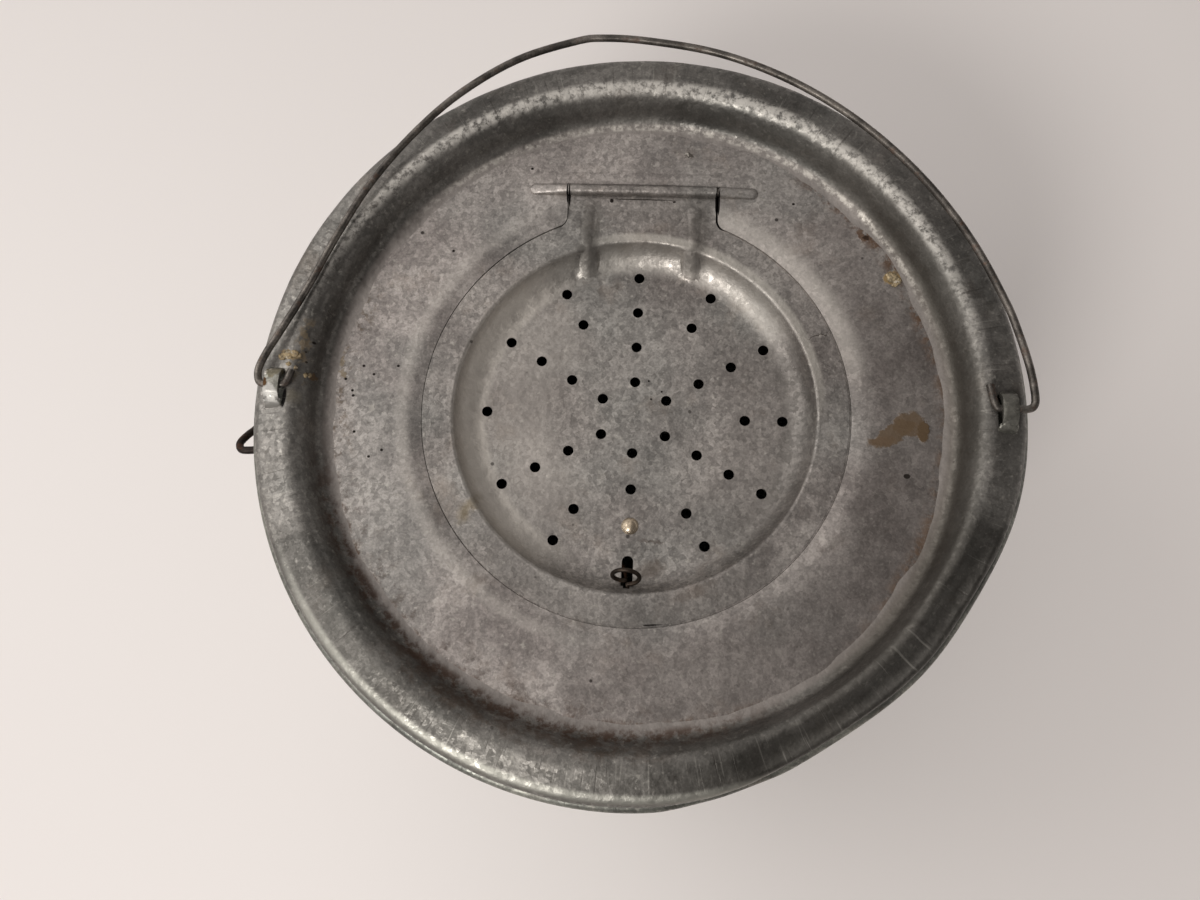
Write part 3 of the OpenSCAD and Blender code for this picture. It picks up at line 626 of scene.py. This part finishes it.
doorLook = {
    "dark": rgb(112, 106, 102), "light": rgb(144, 138, 133), "roughness": 0.46, "pits": 0.7, "flake": 0.24,
    "bump": 0.7, "dimples": 2.0,
    "paintedLightAndTone": [
        # painted light and shade on the pan: highlights on the far wall, the far rim, the left wall and the
        # left of the floor; shade on the right wall, the right of the floor and the near flange
        ring(63, 9, 0.5, rgb(192, 186, 178), towards=70, spread=52),
        ring(62, 12, 0.5, rgb(78, 75, 71), towards=-12, spread=48),
        ring(69.5, 3, 0.45, rgb(206, 200, 190), towards=55, spread=60),
        ring(62.5, 11, 0.72, rgb(204, 197, 188), towards=180, spread=76, soft=0.35),
        ring(44, 26, 0.36, rgb(180, 173, 166), towards=180, spread=70),
        ring(50, 24, 0.32, rgb(92, 87, 83), towards=-12, spread=62),
        ring(77, 14, 0.32, rgb(84, 80, 76), towards=268, spread=56),
    ],
    "spots": [
        spot((-59.7, -39.6, 209), (2.6, 6.0, 12), rgb(118, 104, 76), turn=-28, amount=0.6, soft=0.9),
        spot((8.6, -47.2, 206), (4.6, 0.9), rgb(84, 74, 68), turn=2, amount=0.6, soft=0.7),
        spot((9.8, -78.4, 214.7), (3.8, 0.35), rgb(34, 30, 28), turn=3, soft=0.4, ragged=False),
        spot((8, -58, 206), (5, 3.2), rgb(96, 84, 74), turn=20, amount=0.5, soft=1.0),
        spot((24, -66, 212), (9, 2.2), rgb(100, 88, 78), turn=25, amount=0.4, soft=1.0),
        # painted shadow: black in the slits beside the hinge knuckle
        spot((-28.6, 86.0, 217), (0.36, 4.6, 4), rgb(20, 17, 15), ragged=False, soft=0.3),
        spot((28.4, 85.0, 217), (0.36, 5.4, 4), rgb(20, 17, 15), ragged=False, soft=0.3),
        spot((0, 84.9, 216), (12.4, 0.2, 3), rgb(58, 52, 47), ragged=False, soft=0.5),
        spot((-12.2, 84.2, 216), (0.7, 0.8, 3), rgb(36, 30, 27), ragged=False),
        spot((12.2, 84.3, 216), (0.6, 0.4, 3), rgb(46, 40, 36), ragged=False),
        # painted shadow beside the ribs and where they cross the pan wall
        spot((-20.0, 73.5, 215), (4.2, 11.0, 9), rgb(82, 77, 72), amount=0.6, soft=1.2),
        spot((-20.6, 62.0, 212), (4.4, 5.0, 9), rgb(74, 70, 66), amount=0.6, soft=1.0),
        spot((20.6, 62.0, 212), (4.4, 5.0, 9), rgb(74, 70, 66), amount=0.6, soft=1.0),
        spot((22.0, 73.5, 215), (4.2, 11.0, 9), rgb(82, 77, 72), amount=0.6, soft=1.2),
        spot((67.5, 31.5, 215.4), (4.2, 0.35, 3), rgb(78, 72, 67), turn=27, soft=0.6),
    ] + [
        spot((x, y, 205.5), (0.4, 0.4, 4), rgb(26, 22, 20), ragged=False)
        for x, y in doorSpecks
    ],
}
collarLook = {
    "dark": rgb(93, 90, 86), "light": rgb(129, 125, 120), "roughness": 0.44, "pits": 0.5, "warmth": 0.15,
    "coolness": 0.4, "cool": rgb(107, 107, 103),
    "ticks": ring(129, 11, 0.5, rgb(66, 62, 58), count=75), "flake": 0.2, "dimples": 3.0,
    "paintedLightAndTone": [
        ring(111.5, 10, 0.8, rgb(141, 134, 129), soft=0.15),
        # painted shade down the inner wall, and on the outer slope at the far side
        ring(119.4, 7, 0.32, rgb(76, 73, 69), soft=0.5),
        ring(133, 12, 0.2, rgb(72, 70, 67), towards=60, spread=95),
        ring(116.6, 5, 0.6, rgb(84, 77, 69), towards=-4, spread=58),
        # painted shade on the inner wall at the far right and the right, on the dented slope at the near
        # right and on the near side; a painted highlight along the near outer edge
        ring(119.5, 8, 0.4, rgb(60, 58, 54), towards=40, spread=80),
        ring(131, 20, 0.7, rgb(52, 50, 46), towards=312, spread=40),
        ring(133, 14, 0.42, rgb(66, 63, 58), towards=258, spread=60),
        ring(120.5, 8, 0.4, rgb(70, 66, 60), towards=0, spread=70),
        ring(136.5, 3, 0.5, rgb(190, 188, 178), towards=250, spread=50),
    ],
    "bands": [
        # painted highlights, broken up: along the crest at the far side and along the deck corner
        ring(125.6, 4.4, 0.7, rgb(216, 211, 203), towards=88, spread=84, grainScale=340, breakFrom=0.38,
             breakTo=0.56),
        ring(115, 2, 0.5, rgb(216, 210, 200), towards=80, spread=70, grainScale=340),
        ring(117, 5, 0.8, rgb(70, 50, 38), towards=242, spread=62),
        ring(121, 7, 0.45, rgb(80, 62, 48), towards=252, spread=30),
        ring(124, 5, 0.4, tan, towards=174, spread=8, breakFrom=0.5, breakTo=0.62, dull=True),
    ],
    "spots": [
        spot((-126.6, 12.8, 229), (3.8, 1.3, 5), rgb(146, 126, 92), turn=-14, amount=0.8),
        spot((-120.4, 6.3, 224), (2.0, 1.1, 4), rgb(104, 84, 60), turn=-20, amount=0.8),
        spot((-119.8, 18.8, 225), (0.6, 0.55, 3), rgb(34, 28, 24), ragged=False),
        spot((-121.8, 14.6, 226), (0.45, 0.5, 3), rgb(50, 42, 35), ragged=False),
        spot((-121.4, 10.9, 226), (0.4, 0.45, 3), rgb(50, 42, 35), ragged=False),
        spot((-126, 6, 227), (2.6, 2.0, 5), rgb(136, 126, 106), amount=0.5, soft=0.9),
        spot((-125, -2.5, 227), (2.8, 3.0, 5), rgb(128, 120, 102), amount=0.45, soft=0.9),
        # painted shadow: black in the opening beside the left strap
        spot((-127.3, -3.6, 229), (0.75, 3.6, 5), rgb(18, 15, 14), turn=-4, soft=0.4, ragged=False),
    ],
}
pailLook = {
    "dark": rgb(96, 96, 90), "light": rgb(134, 133, 125), "roughness": 0.45, "pits": 0.5, "spangle": 0.22,
    "spangleScale": 120, "ticks": ring(140.5, 5, 0.3, rgb(66, 62, 58), count=70),
}
darkInsideLook = {
    "dark": rgb(92, 92, 86), "light": rgb(122, 121, 114), "roughness": 0.5, "warmth": 0.4,
}
earLook = {"dark": rgb(92, 91, 86), "light": rgb(126, 124, 117), "roughness": 0.44, "warmth": 0.3}
strapLook = {
    "dark": rgb(96, 94, 88), "light": rgb(130, 128, 120), "roughness": 0.42,
    "spots": [
        # painted highlight on the lower end of the strap
        spot((-132.1, -4.6, 232), (4.2, 4.6, 8), rgb(168, 165, 160), soft=0.35, dull=False),
        spot((-134.0, 1.0, 234), (1.6, 1.4, 4), rgb(92, 66, 40)),
        spot((-134.4, 4.4, 234), (1.3, 1.0, 4), rgb(226, 222, 214)),
        spot((-132.4, 6.4, 232), (0.9, 0.8, 4), rgb(220, 214, 204)),
        spot((-131.5, 5.2, 232), (3.4, 1.9, 5), rgb(128, 118, 92), amount=0.6),
    ],
}
rivetLook = {"dark": rgb(150, 136, 118), "light": rgb(188, 172, 150), "roughness": 0.3, "metallic": 0.85,
             "speckle": 0.15, "dirt": 0.2}
solderLook = {"dark": rgb(104, 88, 62), "light": rgb(152, 134, 102), "roughness": 0.55, "metallic": 0.25,
              "dirt": 0.8, "flecks": 0.7, "speckle": 0.45}
bailLook = {"dark": rgb(70, 66, 62), "light": rgb(112, 106, 100), "rust": 0.4, "roughness": 0.34,
            "spots": [spot((-62, 128, 234), (1.0, 0.6, 4), rgb(20, 18, 16), turn=-40)]}
outerBailLook = {"dark": rgb(38, 32, 29), "light": rgb(60, 52, 47), "rust": 0.6, "roughness": 0.42}
latchLook = {"dark": rgb(40, 33, 28), "light": rgb(62, 52, 44), "rust": 0.7, "roughness": 0.4}

deckZinc = zincFinish("deckZinc", deckLook)
doorZinc = zincFinish("doorZinc", doorLook)
collarZinc = zincFinish("collarZinc", collarLook)
pailZinc = zincFinish("pailZinc", pailLook)
insideZinc = zincFinish("insideZinc", darkInsideLook)
earZinc = zincFinish("earZinc", earLook)
strapZinc = zincFinish("strapZinc", strapLook)
rivetMetal = zincFinish("rivetMetal", rivetLook)
oldSolder = zincFinish("oldSolder", solderLook)
bailSteel = wireFinish("bailSteel", bailLook)
outerBailSteel = wireFinish("outerBailSteel", outerBailLook)
latchSteel = wireFinish("latchSteel", latchLook)
print("finishes mixed")


pailShape = {
    "steps": 360, "sheet": 0.6, "footRadius": 112.0, "topRadius": 137.5,
    "beadRadius": 2.4, "beadCentre": (139.3, 219.6), "beadArc": (-138, 176), "beadSteps": 14,
    "footFold": 1.0, "foldBulge": 0.35, "bulgeLevel": 2.5, "foldTop": 6.0, "wallFoot": 6.6,
    "levels": [7.2, 12, 24, 38, 52, 66, 80, 94, 108, 122, 136, 150, 162, 174, 184, 192, 199, 205, 210, 214],
    "dentPatch": (3, 9),
    # each dent is an azimuth, a level, how deep it is and how far it reaches
    "dents": [(217, 130, 2.6, 38), (34, 80, 2.8, 34), (94, 156, 2.0, 26), (285, 214, 0.9, 18),
              (252, 96, 1.4, 30), (275, 52, 1.0, 26), (188, 74, 1.6, 34), (160, 158, 1.2, 28),
              (66, 118, 1.2, 30), (340, 108, 1.8, 34), (318, 60, 1.2, 26), (12, 150, 1.3, 28),
              (120, 92, 1.5, 32), (232, 178, 1.0, 22), (298, 150, 1.1, 24)],
}


def pailRadius(height):
    shape = pailShape
    return shape["footRadius"] + (shape["topRadius"] - shape["footRadius"]) * height / shape["beadCentre"][1]


def makePail():
    # one turned shell with its foot seam and its bead, then its dents
    shape = pailShape
    levels = shape["levels"]
    foldRadius = shape["footRadius"] + shape["footFold"]
    section = [(foldRadius, 0), (foldRadius + shape["foldBulge"], shape["bulgeLevel"]),
               (pailRadius(shape["foldTop"]) + shape["footFold"], shape["foldTop"]),
               (pailRadius(shape["wallFoot"]), shape["wallFoot"])]
    section += [(pailRadius(level), level) for level in levels]
    section += arcPoints(shape["beadCentre"], shape["beadRadius"], *shape["beadArc"], shape["beadSteps"])
    section += [(pailRadius(level) - shape["sheet"], level) for level in reversed(levels)]
    section += [(shape["footRadius"] - shape["sheet"], 0.0)]
    pail = turnShape("pailShell", section, shape["steps"])
    pressDent(pail, wall=True)
    startEdit(pail)
    wide, high = shape["dentPatch"]
    for turn, height, depth, reach in shape["dents"]:
        inward = (-depth * math.cos(math.radians(turn)), -depth * math.sin(math.radians(turn)), 0)
        nudge(pail, lambda p: abs((azimuth(p) - turn + 180) % 360 - 180) < wide and abs(p.z - height) < high,
              inward, reach)
    endEdit()
    smoothFaces(60)
    finishPiece(pail, "pail", pailZinc, "weathered_zinc", "pail_wall", "rim_wire")


sideSeam = {
    "turn": 142.0, "width": 7.0, "thickness": 1.1, "edge": 0.35, "proud": 0.45,
    "levels": [6.8, 40, 75, 110, 145, 180, 210, 216],
}


def makeSideSeam():
    # the folded side seam, a flat strip that climbs the wall from the foot to the bead
    shape = sideSeam
    levels = shape["levels"]
    foot = pailRadius(levels[0]) + shape["proud"]
    bpy.ops.object.select_all(action="DESELECT")
    bpy.ops.mesh.primitive_plane_add(size=1, location=(0, 0, 0))
    seam = bpy.context.object
    seam.name = "pailSeam"
    startEdit(seam)
    bpy.ops.mesh.select_all(action="SELECT")
    bpy.ops.transform.resize(value=(1 * mm, shape["width"] * mm, 1))
    bpy.ops.transform.translate(value=(foot * mm, 0, levels[0] * mm))
    bpy.ops.mesh.select_all(action="DESELECT")
    pick(seam, lambda p: p.x > foot)
    for low, high in zip(levels, levels[1:]):
        step = Vector((pailRadius(high) - pailRadius(low), 0, high - low)) * mm
        bpy.ops.mesh.extrude_region_move(TRANSFORM_OT_translate={"value": step})
    endEdit()
    applyModifier(seam, "SOLIDIFY", thickness=shape["thickness"] * mm, offset=0)
    applyModifier(seam, "BEVEL", width=shape["edge"] * mm, segments=2)
    startEdit(seam)
    faceOutwards()
    endEdit()
    seam.data.transform(Matrix.Rotation(math.radians(shape["turn"]), 4, "Z"))
    smoothFaces(40)
    finishPiece(seam, "pail", pailZinc, "weathered_zinc")


makePail()
makeSideSeam()
for node, name in (("pail_ear_left", "pailEarLeft"), ("pail_ear_right", "pailEarRight")):
    finishPiece(roundedCopy(node, name), "pail", earZinc, "weathered_zinc", node)
finishPiece(roundedCopy("ear_rivets", "pailEarRivets"), "pail", rivetMetal, "rivet_steel", "ear_rivets")
print("outer pail made")


strapShape = {
    "radius": 131.2, "back": 1.0, "width": 5.4, "half": 4.4, "sheet": 0.6, "edge": 0.14,
    # how far past the half and how high, from the collar up to the crown
    "rise": [(4.0, 227.3), (2.7, 228.9), (0.9, 232.2), (-1.3, 233.75)], "crown": 234.05,
    "openingRoom": 1.2, "openingLevel": 230.5, "openingHeight": 11,
}
collarShape = {
    "steps": 360, "sheet": 0.6, "deckLevel": 217.0,
    # radius and height over the deck, from the deck's edge up the inner slope
    "slope": [(110.5, -0.12), (112.2, 0.05), (113.8, 0.3), (115.2, 0.72), (116.5, 1.4), (117.6, 2.4),
              (118.4, 3.7), (119.1, 5.4), (120.0, 7.9)],
    "crest": (127.2, 222.95), "crestRadius": 7.0, "crestArc": (150, 84), "crestSteps": 10,
    "brow": [(129.6, 229.55), (131.4, 229.1), (133.4, 228.8)],
    "shoulder": (135.3, 224.3), "shoulderRadius": 4.1, "shoulderArc": (80, 0), "shoulderSteps": 8,
    "lip": [(139.4, 222.9), (139.1, 222.3), (138.4, 222.05), (136.0, 222.0)],
    # each knock is a stretch of azimuth and of radius, a push and its reach
    "knocks": [((326, 330), (128, 132), (0, 0, -0.8), 9), ((292, 295), (129, 134), (0, 0, -0.5), 9),
               ((43, 48), (0, 116), (-1.1, -1.1, 0), 7), ((140, 145), (0, 116), (1.0, -0.8, 0), 7),
               ((205, 215), (126, 130), (0, 0, -0.5), 10), ((20, 30), (130, 136), (0, 0, -0.5), 12)],
    "waveSize": 18, "waveHeight": 0.5, "waveMiddle": 0.75,
}


def cutOpening(collar, side):
    # the opening under a strap
    shape = strapShape
    bpy.ops.object.select_all(action="DESELECT")
    place = (side * shape["radius"] * mm, shape["back"] * mm, shape["openingLevel"] * mm)
    bpy.ops.mesh.primitive_cube_add(size=1, location=place)
    cutter = bpy.context.object
    width, half = shape["width"] + shape["openingRoom"], shape["half"] + shape["openingRoom"]
    cutter.scale = (width * mm, 2 * half * mm, shape["openingHeight"] * mm)
    bpy.ops.object.transform_apply(location=True, rotation=False, scale=True)
    applyModifier(collar, "BOOLEAN", object=cutter, operation="DIFFERENCE", solver="EXACT")
    bpy.data.objects.remove(cutter)


def makeCollar():
    # the raised ring: a turned sheet with its dent, its knocks and its waves
    shape = collarShape
    surface = [(radius, shape["deckLevel"] + rise) for radius, rise in shape["slope"]]
    surface += arcPoints(shape["crest"], shape["crestRadius"], *shape["crestArc"], shape["crestSteps"])
    surface += shape["brow"]
    surface += arcPoints(shape["shoulder"], shape["shoulderRadius"], *shape["shoulderArc"],
                         shape["shoulderSteps"])
    surface += shape["lip"]
    collar = turnShape("floatCollar", surface, shape["steps"], closed=False)
    faceUp(collar)
    pressDent(collar)
    startEdit(collar)
    for (start, end), (inside, outside), push, reach in shape["knocks"]:
        nudge(collar, lambda p: start < azimuth(p) < end and inside < math.hypot(p.x, p.y) < outside,
              push, reach)
    endEdit()
    applyModifier(collar, "DISPLACE", texture=cloudTexture("collarWaves", shape["waveSize"]),
                  strength=shape["waveHeight"] * mm, mid_level=shape["waveMiddle"], texture_coords="LOCAL")
    applyModifier(collar, "SOLIDIFY", thickness=shape["sheet"] * mm, offset=-1)
    for side in (-1, 1):
        cutOpening(collar, side)
    smoothFaces(50)
    finishPiece(collar, "pail", collarZinc, "collar_zinc", "float_collar")


def makeStrap(side, name):
    # a lanced band: it leaves the collar, bridges the bail's wire and goes back down
    shape = strapShape
    half, rise = shape["half"], shape["rise"]
    line = [(-half - past, level) for past, level in rise] + [(0, shape["crown"])]
    line += [(half + past, level) for past, level in reversed(rise)]
    bpy.ops.object.select_all(action="DESELECT")
    bpy.ops.mesh.primitive_plane_add(size=1)
    strap = bpy.context.object
    strap.name = name
    startEdit(strap)
    bpy.ops.mesh.select_all(action="SELECT")
    bpy.ops.transform.resize(value=(shape["width"] * mm, 1, 1))
    pick(strap, lambda p: p.y < 0)  # the plane's two ends go to the line's first two points
    bpy.ops.transform.translate(value=(0, 0.5 + line[0][0] * mm, line[0][1] * mm))
    pick(strap, lambda p: p.y > 400)
    bpy.ops.transform.translate(value=(0, -0.5 + line[1][0] * mm, line[1][1] * mm))
    for (y0, z0), (y1, z1) in zip(line[1:], line[2:]):
        step = (0, (y1 - y0) * mm, (z1 - z0) * mm)
        bpy.ops.mesh.extrude_region_move(TRANSFORM_OT_translate={"value": step})
    endEdit()
    faceUp(strap)
    applyModifier(strap, "SUBSURF", subdivision_type="SIMPLE", levels=2, render_levels=2)
    applyModifier(strap, "SOLIDIFY", thickness=shape["sheet"] * mm, offset=-1)
    applyModifier(strap, "BEVEL", width=shape["edge"] * mm, segments=2, limit_method="ANGLE")
    strap.data.transform(Matrix.Translation((side * shape["radius"] * mm, shape["back"] * mm, 0)))
    smoothFaces(50)
    finishPiece(strap, "pail", strapZinc, "collar_zinc")


floatWallShape = {
    "steps": 180, "sheet": 0.6,
    "section": [(135.2, 222.6), (135.2, 218), (133.6, 205), (130.6, 191.6), (128.9, 188.2), (125.7, 187.0),
                (111.2, 187.0), (110.9, 183.0)],
}


def makeFloatWall():
    # the hidden side of the float, pushed in by the same dent
    shape = floatWallShape
    wall = turnShape("floatWall", shape["section"], shape["steps"], closed=False)
    pressDent(wall, wall=True)
    applyModifier(wall, "SOLIDIFY", thickness=shape["sheet"] * mm, offset=0)
    smoothFaces(50)
    finishPiece(wall, "pail", insideZinc, "inner_zinc", "float_wall")


makeCollar()
makeStrap(-1, "strapLeft")
makeStrap(1, "strapRight")
makeFloatWall()
print("float collar made")


deckShape = {"level": 217.0, "housingFrom": 33.0, "housingTo": 45.5, "housingDrop": 0.72, "pinShare": 0.7}


def makeDeck():
    # the two pin housings run out flat into the deck, and the pin's hidden ends are shorter to match
    shape = deckShape
    level, start, end = shape["level"], shape["housingFrom"], shape["housingTo"]
    deck = roundedCopy("deck", "deckPlate")
    for point in deck.data.vertices:
        x, y, z = point.co / mm
        if abs(x) > start and z > level:
            share = min(1.0, (abs(x) - start) / (end - start))
            point.co.z = (level + (z - level) * (1 - shape["housingDrop"] * share)) * mm
    finishPiece(deck, "pail", deckZinc, "deck_zinc", "deck")
    pin = roundedCopy("hinge_pin", "hingePin")
    pin.data.transform(Matrix.Diagonal((shape["pinShare"], 1.0, 1.0, 1.0)))
    finishPiece(pin, "pail", bailSteel, "wire_steel", "hinge_pin")


doorShape = {
    "flangeLevel": 215.4, "ribMiddle": 20.6, "ribReach": 3.6, "ribFrom": 68.0, "ribTo": 86.5,
    "ribShare": 0.45, "shift": -0.3, "stretch": 1.0032,
}


def makeDoor():
    # the ribs are worn low, and the door sits a little to the left in its opening
    shape = doorShape
    flange = shape["flangeLevel"]
    door = roundedCopy("door", "doorPan", 40)
    for point in door.data.vertices:
        x, y, z = point.co / mm
        onRib = abs(abs(x) - shape["ribMiddle"]) < shape["ribReach"] and shape["ribFrom"] < y < shape["ribTo"]
        if onRib and z > flange:
            point.co.z = (flange + (z - flange) * shape["ribShare"]) * mm
    aside = Matrix.Translation((shape["shift"] * mm, 0, 0))
    door.data.transform(aside @ Matrix.Diagonal((shape["stretch"], 1, 1, 1)))
    finishPiece(door, "door", doorZinc, "door_zinc", "door")


makeDeck()
makeDoor()
finishPiece(roundedCopy("latch_rivet", "latchRivet", 60), "door", rivetMetal, "rivet_steel", "latch_rivet")
finishPiece(roundedCopy("latch_clip", "latchClip"), "door", insideZinc, "door_zinc", "latch_clip")

latchShape = {
    "wire": 1.6, "tailLevel": 203.4, "smoothing": 3,
    "tail": [(-3.6, -40.2), (-3.6, -45.5), (-3.6, -50.6), (-2.6, -55.2), (-1.2, -59.6), (-0.9, -61.0)],
    "rise": [(-0.9, -61.9, 204.6), (-0.9, -62.2, 207.2), (-0.8, -62.4, 209.2)],
    "knot": (0, -63.3, 210.1), "ring": 4.9, "ringAside": -0.5, "lean": 22.0,
    "ringStart": -96, "ringTurn": 348, "ringSlip": 1.5, "ringSteps": 22,
    "nose": [(0.3, -65.6, 209.8), (0.1, -67.6, 210.0), (0, -70.3, 210.1)],
}


def makeLatch():
    # the tail lies under the door, the wire comes up through the slot, makes its ring and ends in the nose
    shape = latchShape
    lean = math.radians(shape["lean"])
    upward = Vector((0, math.sin(lean), math.cos(lean)))
    facing = Vector((0, math.cos(lean), -math.sin(lean)))
    centre = Vector(shape["knot"]) + Vector((shape["ringAside"], 0, 0)) + upward * shape["ring"]
    route = [(x, y, shape["tailLevel"]) for x, y in shape["tail"]] + shape["rise"]
    turns = shape["ringSteps"]
    for i in range(turns + 1):
        angle = math.radians(shape["ringStart"] - shape["ringTurn"] * i / turns)
        slip = facing * (shape["ringSlip"] / 2 - shape["ringSlip"] * i / turns)
        route.append(centre + Vector((1, 0, 0)) * shape["ring"] * math.cos(angle)
                     + upward * shape["ring"] * math.sin(angle) + slip)
    wire = bendWire("latchWire", smoothRoute(route + shape["nose"], shape["smoothing"]), shape["wire"])
    finishPiece(wire, "latch", latchSteel, "dark_wire", "latch_wire")


makeLatch()
print("deck, door and latch made")


innerBailShape = {
    "wire": 2.75, "level": 231.7, "back": 1.0, "lean": 1.0, "turn": 0.0, "smoothing": 7,
    "route": [(124.8, 8.6), (125.2, 6.2), (125.9, 3.0), (126.8, 0.6), (128.2, 0), (131, 0), (134.5, 0),
              (137, 0), (139.4, 1), (140.2, 4.6), (138.8, 15), (135.3, 28), (131, 40),
              (120.5, 61.5), (107, 81.5), (90.5, 99.5), (71.5, 115), (50, 127.5), (26, 136.5), (0.5, 141),
              (-17, 142), (-28, 140.4), (-50.5, 132), (-72, 117), (-89, 99), (-103, 79), (-113.5, 58),
              (-120.5, 41.5), (-125.3, 31), (-130.5, 20.5), (-134.8, 12), (-137.1, 5.6), (-136.6, 1.2),
              (-134.6, 0), (-131, 0), (-128.2, 0), (-126.8, 0.5), (-125.8, 2.8), (-124.8, 5.6)],
}
outerBailShape = {
    "wire": 2.96, "level": 204.0, "back": 0.0, "lean": -36.03, "turn": 7.0, "smoothing": 7,
    "route": [(139.1, 4.6), (139.1, 1.6), (139.9, 0.2), (141.4, 0), (144.3, 0), (146, 1), (146.6, 4),
              (146.4, 10), (146.2, 20), (146.2, 35), (144, 55), (136, 80), (119.5, 107), (91.5, 132),
              (52, 150), (0, 158), (-52, 150), (-92, 132), (-120.5, 107), (-138, 80), (-146.5, 55),
              (-148.8, 35), (-149, 22), (-149.6, 14), (-152.4, 9.5), (-154.3, 5), (-153, 1), (-149.6, 0),
              (-144.4, 0), (-141.4, 0), (-139.9, 0.2), (-139.1, 1.6), (-139.1, 4.6)],
}


def makeBail(name, shape, body, steel, slot, node):
    # the flat route is bent, leaned back about its hooks, and turned with its bucket
    tilt = Matrix.Translation((0, shape["back"], shape["level"]))
    tilt = tilt @ Matrix.Rotation(math.radians(shape["lean"]), 4, "X")
    tilt = Matrix.Rotation(math.radians(shape["turn"]), 4, "Z") @ tilt
    flat = smoothRoute([(x, y, 0) for x, y in shape["route"]], shape["smoothing"])
    wire = bendWire(name, [tilt @ point for point in flat], shape["wire"])
    finishPiece(wire, body, steel, slot, node)


makeBail("innerBail", innerBailShape, "inner_bail", bailSteel, "wire_steel", "inner_bail")
makeBail("outerBail", outerBailShape, "outer_bail", outerBailSteel, "rusted_wire", "pail_bail")
print("bails bent")


crustShape = {
    "ear": [(-129.6, 12.2, 229.5, 1.5), (-127.6, 12.8, 229.7, 1.9), (-125.4, 13.4, 229.7, 1.6),
            (-124.0, 12.8, 229.3, 1.1), (-121.6, 6.0, 227.1, 1.1), (-120.4, 6.4, 225.6, 1.0),
            (-127.0, 9.4, 229.8, 0.9), (-124.4, 8.2, 229.4, 0.8)],
    "deck": [(95.3, 54.5, 217.3, 2.0), (96.9, 53.4, 217.4, 1.5), (94.2, 55.8, 217.2, 1.2),
             (95.9, 51.8, 217.3, 0.9)],
    "squash": (1.15, 0.9, 0.38), "roughSize": 1.1, "roughHeight": 0.7,
}


def makeCrust(name, lumps):
    # flattened lumps of old solder, run together and roughened
    shape = crustShape
    bpy.ops.object.select_all(action="DESELECT")
    made = []
    for x, y, z, size in lumps:
        bpy.ops.mesh.primitive_ico_sphere_add(subdivisions=3, radius=size * mm,
                                              location=(x * mm, y * mm, z * mm))
        lump = bpy.context.object
        lump.scale = shape["squash"]
        bpy.ops.object.transform_apply(location=True, rotation=False, scale=True)
        made.append(lump)
    for lump in made:
        lump.select_set(True)
    bpy.context.view_layer.objects.active = made[0]
    bpy.ops.object.join()
    crust = bpy.context.object
    crust.name = name
    applyModifier(crust, "DISPLACE", texture=cloudTexture(name + "Lumps", shape["roughSize"]),
                  strength=shape["roughHeight"] * mm, mid_level=0.5, texture_coords="LOCAL")
    bpy.ops.object.shade_smooth()
    finishPiece(crust, "pail", oldSolder, "collar_zinc")


makeCrust("earCrust", crustShape["ear"])
makeCrust("deckCrust", crustShape["deck"])

# the parts that hardly show keep their CAD shape
for node in ("inner_body", "inner_bottom", "ear_pocket_left", "ear_pocket_right", "pail_bottom"):
    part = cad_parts[node]
    part.data.materials.clear()
    part.data.materials.append(insideZinc)
print("crust and hidden parts finished")
